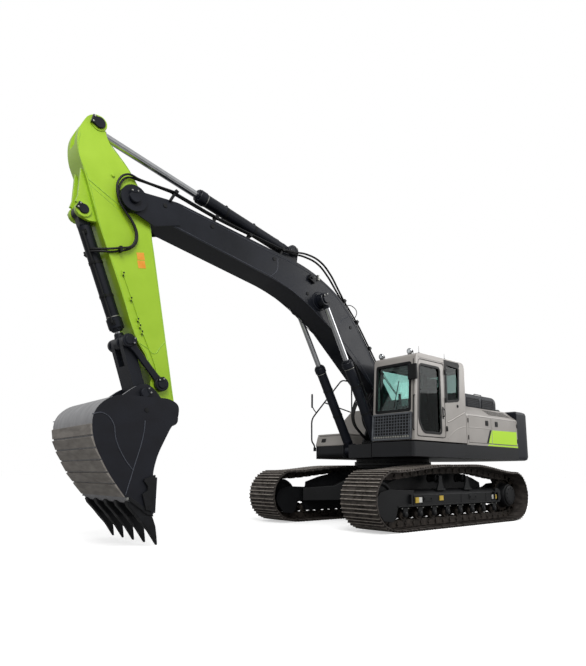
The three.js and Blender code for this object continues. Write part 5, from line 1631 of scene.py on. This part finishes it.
LINK_PIN, SIDE_LINK_PIN = point_on(ON_ARM, 2.062, 0.4), point_on(ON_ARM, 2.734, 0.015)
BOOM_SIZES = (1.9, 0.095, 0.125, 0.07, 0.052, 2.03, 0.15)
ARM_SIZES = (2.06, 0.105, 0.112, 0.078, 0.058, 2.06, 0.17)
BUCKET_SIZES = (1.735, 0.093, 0.1, 0.078, 0.05, 1.67, 0.19)
for side, name in ((1, "left"), (-1, "right")):
    cylinder(name + "_boom", pin_of("boom_cylinder_swing"), point_on(ON_BOOM, 2.945, 1.0), BOOM_SIZES,
        side * 0.385, ("boom_cylinders", "boom_rods"), (name + "_boom_cylinder", name + "_boom_cylinder_rod"),
        side, side * -0.5)
cylinder("arm", pin_of("arm_cylinder_swing"), point_on(ON_ARM, -1.096, 0.3), ARM_SIZES, 0,
    ("arm_cylinder", "arm_rod"), ("arm_cylinder", "arm_cylinder_rod"), 1, 0.35)
cylinder("bucket", pin_of("bucket_cylinder_swing"), LINK_PIN, BUCKET_SIZES, 0,
    ("bucket_cylinder", "bucket_rod"), ("bucket_cylinder", "bucket_cylinder_rod"), 1, -0.7)
print("cylinders built")

# %% [markdown]
# ## Boom
# The boom is a welded box. Beads run where its plates meet, cast bosses carry the pins, and steel
# pipes stand off its top on clamp blocks. Over the bend the pipes give way to hoses that bulge up
# round the arm cylinder's foot.

# %% Boom fittings
BOOM_TOP = [(-0.06, 0.215), (1.9, 1.19), (2.42, 1.37), (2.9, 1.432), (3.43, 1.36), (6.03, 0.51), (6.23, 0.4)]


def boom_top(u):
    """The height of the boom's top plate over its centre line."""
    for (u0, v0), (u1, v1) in zip(BOOM_TOP, BOOM_TOP[1:]):
        if u <= u1:
            return v0 + (v1 - v0) * (u - u0) / (u1 - u0)
    return BOOM_TOP[-1][1]


def pin_cap(x, z, radius, y0, y1, lock=0.7):
    """A pin's end plate with its keeper: a short bar and two bolts that stop it turning."""
    side = 1 if y1 > y0 else -1
    parts = [turned_part([(y0, 0.02), (y0, radius), (y1 - side * 0.008, radius), (y1, radius - 0.008),
        (y1, 0.02)], x, z, 0, 36)]
    along = Vector((cos(lock), 0, sin(lock)))
    keeper = block((-0.03, min(y0, y1) - 0.001, -radius * 0.75), (0.03, max(y0, y1) + 0.006, radius * 0.75),
        0.006)
    spot = Vector((x, 0, z)) + along * radius * 1.02
    turned = Matrix.Translation(spot) @ Matrix.Rotation(-lock, 4, "Y")
    return parts, [moved(keeper, turned)], [spot + Vector((-along.z, 0, along.x)) * s * radius * 0.5
        for s in (1, -1)]


def pins(name, body, caps, place=None):
    """Caps, keepers and their bolts on both ends of several pins of one body."""
    dark, bolts = [], []
    for x, z, radius, y0, y1, lock in caps:
        for side in (1, -1):
            disc, keeper, spots = pin_cap(x, z, radius, side * y0, side * y1, lock)
            dark += disc + keeper
            bolts += [looking((spot.x, side * (y1 + 0.004), spot.z), (0, side, 0)) for spot in spots]
    finish(dark, name, CHARCOAL, body, place=place)
    finish([copies(hex_bolt(0.013, 0.01), bolts, name + "_bolts")], name + "_bolts", ZINC, body, place=place)


pins("boom_pins", "boom", [(BOOM_LENGTH, 0, 0.085, 0.354, 0.372, 0.9),
    (3.83, 1.545, 0.072, 0.15, 0.166, 2.4)])
pins("boom_cylinder_pins", "boom", [(2.945, 1.0, 0.08, 0.461, 0.481, 0.6)])
boss_rings = [part for s in (1, -1)
    for part in (cheek_boss(s, [(0.258, 0.02), (0.258, 0.185), (0.275, 0.18), (0.285, 0.155), (0.285, 0.02)],
    2.945, 1.0), cheek_boss(s, [(0.3, 0.02), (0.3, 0.075), (0.457, 0.075), (0.457, 0.02)], 2.945, 1.0, 32),
    drawn([(5.83, 0.2), (6.02, 0.265), (BOOM_LENGTH + 0.02, 0.175), (BOOM_LENGTH + 0.02, -0.175),
    (6.16, -0.13)], s * 0.256, s * 0.276, 0.006))]
finish(boss_rings, "boom_bosses", CHARCOAL, "boom")


def bead(points, y, radius=0.006, steps=6):
    """A weld bead along points on a side plate."""
    return hose([(u, y, v) for u, v in points], radius, 8, steps)


BOOM_SEAM_Y, ARM_SEAM_Y, BUCKET_SEAM_Y = 0.259, 0.1995, 0.7505  # just proud of the side plates
BOOM_SEAM_LOW = [(5.95, 0.115), (5.4, 0.275), (4.5, 0.541), (3.9, 0.705), (3.3, 0.765), (2.7, 0.735),
    (1.9, 0.655), (1.0, 0.375), (0.4, 0.06)]
BOOM_SEAM_HIGH = [(0.25, 0.34), (1.1, 0.762), (1.9, 1.15), (2.42, 1.332), (2.9, 1.395), (3.4, 1.33),
    (4.5, 0.985), (5.95, 0.5)]
beads = [part for s in (1, -1) for part in (bead(BOOM_SEAM_LOW, s * BOOM_SEAM_Y),
    bead(BOOM_SEAM_HIGH, s * BOOM_SEAM_Y), bead([(4.08, 0.66), (4.02, 0.85), (4.1, 1.06)], s * BOOM_SEAM_Y),
    bead([(2.2, 0.7), (2.3, 1.0), (2.18, 1.22)], s * BOOM_SEAM_Y))]
# the beads' lighter grey is a painted highlight along the seams
finish(beads, "boom_weld_beads", WELD_HIGHLIGHT, "boom", smooth=60)
taps = [part for u, v in ((6.18, 0.3), (5.401, 0.611), (4.163, 1.0), (3.244, 0.948), (2.026, 1.063))
    for part in (bar((u, 0.25, v), (u, 0.272, v), 0.034, 20, 0.004),
    bar((u, -0.25, v), (u, -0.272, v), 0.034, 20, 0.004))]
finish(taps, "boom_pads", FRAME_BLACK, "boom")

# %% Pipes and hoses on the boom
PIPE_YS, TIP_SPREAD = (0.18, 0.228), 0.052  # at the tip the pipes spread, clear of the arm
pipes, clamps, bolts = [], [], []
for side in (1, -1):
    for y in PIPE_YS:
        low = [(0.7, boom_top(0.7) + 0.11), (1.9, boom_top(1.9) + 0.105), (2.42, boom_top(2.42) + 0.1)]
        pipes.append(bent_pipe([(u, side * y, v) for u, v in low], 0.0165, 0.3))
        high = [(4.02, y, 1.345), (5.4, y, boom_top(5.4) + 0.115),
            (6.22, y + TIP_SPREAD, boom_top(6.22) + 0.17)]
        pipes.append(bent_pipe([(u, side * across_y, v) for u, across_y, v in high], 0.0165, 0.3))
    for u in (0.8, 1.35, 1.9, 2.38, 4.08, 4.75, 5.41, 6.16):
        top = 0.115 if u < 6 else 0.165
        if 4 < u < 4.2:
            top = 1.325 - boom_top(u)
        centre = boom_top(u) + top
        wide = TIP_SPREAD + 0.01 if u > 6 else 0.0
        low_y, high_y = sorted((side * (0.15 + wide), side * (0.258 + wide)))
        clamps.append(block((u - 0.03, low_y, centre - 0.03), (u + 0.03, high_y, centre + 0.032), 0.006))
        clamps.append(block((u - 0.018, low_y + 0.02, boom_top(u) - 0.03),
            (u + 0.018, high_y - 0.02, centre - 0.02), 0.004))
        bolts.append(Matrix.Translation((u, side * (0.204 + wide), centre + 0.03)))
finish(pipes, "boom_pipes", POWDER, "boom", smooth=60)
finish(clamps, "boom_pipe_clamps", PLASTIC, "boom")
finish([copies(hex_bolt(0.011, 0.014), bolts, "clamp_bolts")], "boom_clamp_bolts", ZINC, "boom")
bend_hoses = []
for side in (1, -1):
    for k, y in enumerate(PIPE_YS):
        lift = 0.045 * k
        bend_hoses.append(hose([(2.4, side * y, boom_top(2.4) + 0.1), (2.62, side * y, 1.545 + lift * 0.5),
            (2.95, side * (y + 0.005), 1.66 + lift), (3.25, side * (y + 0.01), 1.7 + lift),
            (3.58, side * (y + 0.01), 1.6 + lift), (3.86, side * y, 1.44 + lift * 0.5),
            (4.05, side * y, 1.345)], 0.019, 12, 8))
bend_hoses.append(hose([(2.3, 0.2, 1.43), (2.18, 0.24, 1.5), (2.02, 0.26, 1.46), (1.98, 0.22, 1.33)], 0.008,
    8, 8))
finish(bend_hoses, "boom_bend_hoses", RUBBER, "boom", smooth=60)
valve_block = [block((3.22, 0.255, 1.2), (3.38, 0.315, 1.31), 0.008),
    bar((3.24, 0.285, 1.3), (3.22, 0.285, 1.4), 0.022, 6, 0.003), bar((3.33, 0.31, 1.25), (3.33, 0.345, 1.25),
    0.024, 6, 0.003)]
finish(valve_block, "boom_check_valve", FRAME_BLACK, "boom")
valve_tops = [bar((3.16, 0.285, 1.335), (3.215, 0.285, 1.425), 0.026, 6, 0.004),
    bar((3.26, 0.283, 1.3), (3.26, 0.283, 1.345), 0.014, 6, 0.002)]
finish(valve_tops, "boom_valve_fittings", ZINC, "boom")
print("boom fitted")

# %% [markdown]
# ## Arm
# The arm is a box that tapers both ways from its pivot. Doubler plates, end castings and brackets are welded on
# with beads painted over in lime, given a lighter lime that is a painted highlight along each seam; the grease
# line runs in clips down its back edge.

# %% Arm fittings
pins("arm_pins", "arm", [(-1.096, 0.3, 0.084, 0.198, 0.244, 2.0), (0.18, 0.7, 0.07, 0.158, 0.182, 2.2)])
arm_beads = [part for s in (1, -1)
    for part in (bead([(-0.24, 0.585), (-0.06, 0.372), (0.11, 0.16)], s * ARM_SEAM_Y, 0.008),
    bead([(-0.18, 0.592), (-0.01, 0.405), (0.16, 0.205)], s * ARM_SEAM_Y, 0.005),
    bead([(2.11, 0.215), (2.19, 0.115), (2.275, 0.025), (2.19, -0.085), (2.11, -0.18)], s * ARM_SEAM_Y,
    0.007), bead([(-0.9, 0.6), (-0.64, 0.662), (-0.25, 0.588), (0.372, 0.528), (1.19, 0.38), (2.05, 0.25),
    (2.29, 0.142), (2.88, 0.092)], s * ARM_SEAM_Y, 0.0055),
    bead([(-0.8, 0.168), (-0.38, -0.085), (0.15, -0.224), (0.868, -0.214), (1.9, -0.182), (2.96, -0.146)],
    s * ARM_SEAM_Y, 0.0055))]
# the beads' lighter lime is a painted highlight along the seams
finish(arm_beads, "arm_weld_beads", LIME_WELD_HIGHLIGHT, "arm", smooth=60)
arm_bosses = [part for s in (1, -1)
    for part in (bar((-0.349, s * 0.195, 0.22), (-0.349, s * 0.222, 0.22), 0.026, 20, 0.005),
    cheek_boss(s, [(0.196, 0.02), (0.196, 0.15), (0.203, 0.146), (0.203, 0.02)], 2.734, 0.015),
    cheek_boss(s, [(0.196, 0.02), (0.196, 0.118), (0.214, 0.112), (0.214, 0.02)], -1.096, 0.3),
    cheek_boss(s, [(0.138, 0.02), (0.138, 0.108), (0.162, 0.104), (0.162, 0.02)], 0.18, 0.7, 36),
    drawn([(-0.5, 0.622), (-0.02, 0.742), (0.07, 0.79), (0.15, 0.6), (0.05, 0.5), (-0.4, 0.56)], s * 0.088,
    s * 0.139, 0.006))]
finish(arm_bosses, "arm_bosses", LIME, "arm")
clips, dots, line = [], [], []
for s in (1, -1):
    for u, v in ((1.105, 0.305), (1.47, 0.25), (1.775, 0.198), (1.87, 0.183), (1.96, 0.168)):
        clips.append(block((u - 0.03, s * 0.198, v - 0.02), (u + 0.03, s * 0.216, v + 0.02), 0.004))
        for shift in (-0.02, 0.02):
            dots.append(looking((u + shift, s * 0.216, v + shift * 0.4), (0, s, 0)))
    line.append(bent_pipe([(1.05, s * 0.206, 0.315), (1.47, s * 0.206, 0.232), (1.96, s * 0.206, 0.152),
        (2.42, s * 0.206, 0.05), (2.6, s * 0.206, 0.04)], 0.005, 0.05, 8))
finish(clips, "arm_line_clips", LIME, "arm")
finish([copies(hex_bolt(0.012, 0.01), dots, "arm_clip_bolts")], "arm_clip_bolts", FRAME_BLACK, "arm")
finish(line, "arm_grease_lines", LIME, "arm", smooth=60)
plates = [block((0.775, 0.1985, -0.068), (0.885, 0.2025, 0.048), 0.001),
    block((0.895, 0.1985, -0.062), (1.01, 0.2025, 0.056), 0.001)]
finish(plates, "arm_side_plates", ORANGE_TAG, "arm")

# %% Hoses over the arm's pivot
# They leave the boom's pipes, wrap round the pivot and run in an S down both sides of the arm to a
# clamp; shorter ones go on from the clamp to the bucket cylinder.
ARM_FROM_BOOM = ON_ARM.inverted() @ ON_BOOM
# each knot: u, v, and how far the second hose's knot moves in u and v, as a share of the hoses' spacing
PIVOT_KNOTS = [(-0.335, 0.010, -1, 0), (-0.230, 0.135, -1, 1), (-0.077, 0.190, 0, 1), (0.060, 0.176, 0, 1),
    (0.217, 0.106, 0, 1), (0.382, 0.026, 0, 1), (0.526, 0.008, 0, 1), (0.655, 0.056, 0, 1),
    (0.735, 0.160, -0.5, 0), (0.775, 0.285, -1, 0)]
HOSE_SHIFTS = (0.0, 0.034)


def pivot_hose(side, shift, pipe_y):
    """From the boom's pipe round the arm's pivot to the clamp."""
    out = 0.232 + shift
    begin = ARM_FROM_BOOM @ Vector((6.18, side * (pipe_y + TIP_SPREAD), boom_top(6.18) + 0.168))
    knots = [(u + du * shift, side * out, v + dv * shift) for u, v, du, dv in PIVOT_KNOTS]
    return hose([begin, (-0.320, side * (out - 0.005), -0.150), *knots], 0.0165, 12, 6)


def tail_hose(side, shift):
    """From the clamp over to the bucket cylinder's foot."""
    out = 0.232 + shift
    return hose([(0.775 - shift, side * out, 0.300), (0.790 - shift, side * (out - 0.01), 0.430),
        (0.780 - shift, side * 0.190, 0.560), (0.765 - shift, side * 0.125, 0.655),
        (0.760 - shift, side * 0.085, 0.690)], 0.0165, 12, 6)


for side, name in ((1, "left"), (-1, "right")):
    strands = [pivot_hose(side, shift, pipe_y) for shift, pipe_y in zip(HOSE_SHIFTS, PIPE_YS)]
    across(name + "_pivot_hoses", strands, ON_ARM, "boom", "arm", (-0.360, 0, -0.180), (-0.060, 0, 0.190))
    clamp = block((0.715, side * 0.198, 0.285), (0.800, side * 0.290, 0.325), 0.006)
    finish([clamp], name + "_hose_clamp", PLASTIC, "arm")
    across(name + "_cylinder_hoses", [tail_hose(side, shift) for shift in HOSE_SHIFTS], ON_ARM, "arm",
        "bucket_cylinder", (0.780, 0, 0.330), (0.765, 0, 0.640))
print("arm fitted")

# %% [markdown]
# ## Bucket and its links
# The bucket's cheeks are painted plate, its wrap is rolled steel that the soil has scoured, and six
# wear strips cross its heel. Five cast adapters are welded to the lip and carry forged teeth, drawn
# in to a narrow tip. A notched cutter stands on each front edge.

# %% Bucket shell
bucket_shell = cad_copy("bucket", "bucket_shell")
tip_line = (Vector((0.4, 0, -1.336)), Vector((0.77, 0, -1.128)))
along_lip = (tip_line[1] - tip_line[0]).normalized()
alone(bucket_shell)
edit_all()
bpy.ops.mesh.bisect(plane_co=ON_BUCKET @ tip_line[0], plane_no=(along_lip.z, 0, -along_lip.x), use_fill=True,
    clear_outer=True)
leave_edit()
softened(bucket_shell, 0.008, 2, 28)
give(bucket_shell, "bucket", BUCKET_PLATE)
bucket_shell.data.materials.append(WRAP_STEEL)
for face in bucket_shell.data.polygons:
    near = face.center - ON_BUCKET.translation
    if abs(face.normal.y) < 0.35 and abs(near.y) < 0.749 and (near.x > 0.62
            or (near.z > 0.1 and near.x > 0.5)):
        face.material_index = 1
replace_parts(bucket_shell, "bucket")

STATIONS = [(1.256, -0.19), (1.242, -0.345), (1.185, -0.49), (1.105, -0.632), (1.019, -0.785),
    (0.914, -0.922), (0.775, -1.098)]
strips = []
for before, after in zip(STATIONS, STATIONS[1:]):
    a, b = Vector(before), Vector(after)
    along = (b - a).normalized()
    out = Vector((-along.y, along.x))
    a, b = a + along * 0.01, b - along * 0.012
    corners = [a - out * 0.02, b - out * 0.02, b + out * 0.012, a + out * 0.02]
    strips.append(drawn([tuple(c) for c in corners], -0.746, 0.746, 0.004))
finish(strips, "bucket_wear_strips", WEAR_STRIP, "bucket")
bucket_beads = [part for s in (1, -1)
    for part in (bead([(1.262, -0.085), (1.135, -0.062), (1.0, -0.17), (0.944, -0.385), (0.818, -0.618),
    (0.697, -0.763)], s * BUCKET_SEAM_Y, 0.007),
    bead([(0.575, -0.12), (0.583, -0.285), (0.697, -0.763), (0.775, -1.065)], s * BUCKET_SEAM_Y, 0.007, 10),
    bead([(0.742, -1.115), (0.618, -1.205), (0.492, -1.297)], s * BUCKET_SEAM_Y, 0.007))]
# the beads' lighter grey is a painted highlight along the seams
finish(bucket_beads, "bucket_weld_beads", WELD_HIGHLIGHT, "bucket", smooth=60)
trims = []
for s in (1, -1):
    y0, y1 = s * 0.748, s * 0.766
    trims.append(drawn([(0.742, -1.128), (0.47, -1.318), (0.398, -1.33), (0.392, -1.245), (0.5, -1.235),
        (0.716, -1.092)], y0, y1, 0.004))
    trims.append(drawn([(0.401, -0.816), (0.548, -0.868), (0.556, -0.895), (0.498, -0.965), (0.502, -1.02),
        (0.566, -1.062), (0.506, -1.262), (0.418, -1.276), (0.405, -1.08), (0.392, -0.95)], y0, s * 0.786,
        0.006))
    trims.append(cheek_boss(s, [(0.748, 0.018), (0.748, 0.03), (0.758, 0.028), (0.758, 0.018)], 0.56, 0.02,
        24))
finish(trims, "bucket_side_cutters", TOOTH_STEEL, "bucket")
tabs = [block((0.738, s * 0.746, -1.128), (0.766, s * 0.77, -1.096), 0.004) for s in (1, -1)]
finish(tabs, "bucket_lip_tabs", ZINC, "bucket")

# %% Teeth
def adapter(y):
    """A cast adapter, a fork welded over the lip that narrows to the tooth's socket."""
    made = drawn([(0.745, -1.155), (0.715, -1.215), (0.575, -1.362), (0.5, -1.44), (0.398, -1.405),
        (0.392, -1.3), (0.47, -1.195), (0.64, -1.088)], y - 0.054, y + 0.054, 0)
    select_parts(made, "VERT", lambda place, normal: place.z < -1.39)
    bpy.ops.transform.resize(value=(1, 0.88, 1), center_override=(0, y, 0))
    leave_edit()
    return softened(made, 0.012, 2)


def tooth(y):
    """A forged tooth: a socket that grips the adapter, hollowed flanks and a narrow tip."""
    made = drawn([(0.59, -1.345), (0.52, -1.425), (0.425, -1.53), (0.306, -1.712), (0.288, -1.706),
        (0.315, -1.6), (0.345, -1.47), (0.392, -1.35), (0.47, -1.33)], y - 0.06, y + 0.06, 0)
    for limit, share in ((-1.5, 0.78), (-1.65, 0.45)):
        select_parts(made, "VERT", lambda place, normal: place.z < limit)
        bpy.ops.transform.resize(value=(1, share, 1), center_override=(0, y, 0))
        leave_edit()
    return softened(made, 0.01, 2)


TOOTH_YS = [0.345 * i for i in range(-2, 3)]
finish([adapter(y) for y in TOOTH_YS], "tooth_adapters", TOOTH_STEEL, "bucket")
finish([tooth(y) for y in TOOTH_YS], "bucket_teeth", TOOTH_STEEL, "bucket")
pins("bucket_pins", "bucket", [(0, 0, 0.07, 0.334, 0.352, 1.2), (0.4, 0.31, 0.064, 0.334, 0.352, 2.6)])
rings = [cheek_boss(s, [(0.222, 0.085), (0.222, 0.108), (0.246, 0.108), (0.246, 0.085)], 0.4, 0.31)
    for s in (1, -1)]
finish(rings, "link_pin_seals", RUBBER, "bucket")

# %% Links
LINK_REACH = (LINK_PIN - SIDE_LINK_PIN).length


def side_link_part(s):
    """One of the two bars that guide the linkage: a waisted shank between two bosses."""
    shank = drawn([(-0.03, -0.07), (0.16, -0.048), (LINK_REACH - 0.16, -0.045), (LINK_REACH + 0.02, -0.07),
        (LINK_REACH + 0.02, 0.07), (LINK_REACH - 0.16, 0.045), (0.16, 0.048), (-0.03, 0.07)], s * 0.214,
        s * 0.262, 0.01)
    parts = [shank]
    for x, radius in ((0, 0.104), (LINK_REACH, 0.096)):
        parts.append(cheek_boss(s, [(0.208, 0.02), (0.208, radius - 0.008), (0.216, radius), (0.27, radius),
            (0.28, radius - 0.01), (0.282, 0.02)], x, 0))
    return parts


ON_SIDE_LINK = side_frame(SIDE_LINK_PIN, LINK_PIN)
side_bars = finish(side_link_part(1) + side_link_part(-1) + [bar((0, -0.21, 0), (0, 0.21, 0), 0.044, 24, 0)],
    "side_bars", CHARCOAL, "side_link", place=ON_SIDE_LINK)
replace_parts(side_bars, "side_link")
pins("side_link_pins", "side_link",
    [(0, 0, 0.066, 0.281, 0.298, 0.4), (LINK_REACH, 0, 0.064, 0.281, 0.298, 2.4)], ON_SIDE_LINK)
print("bucket, teeth and links built")

# %% End
print("all parts built")
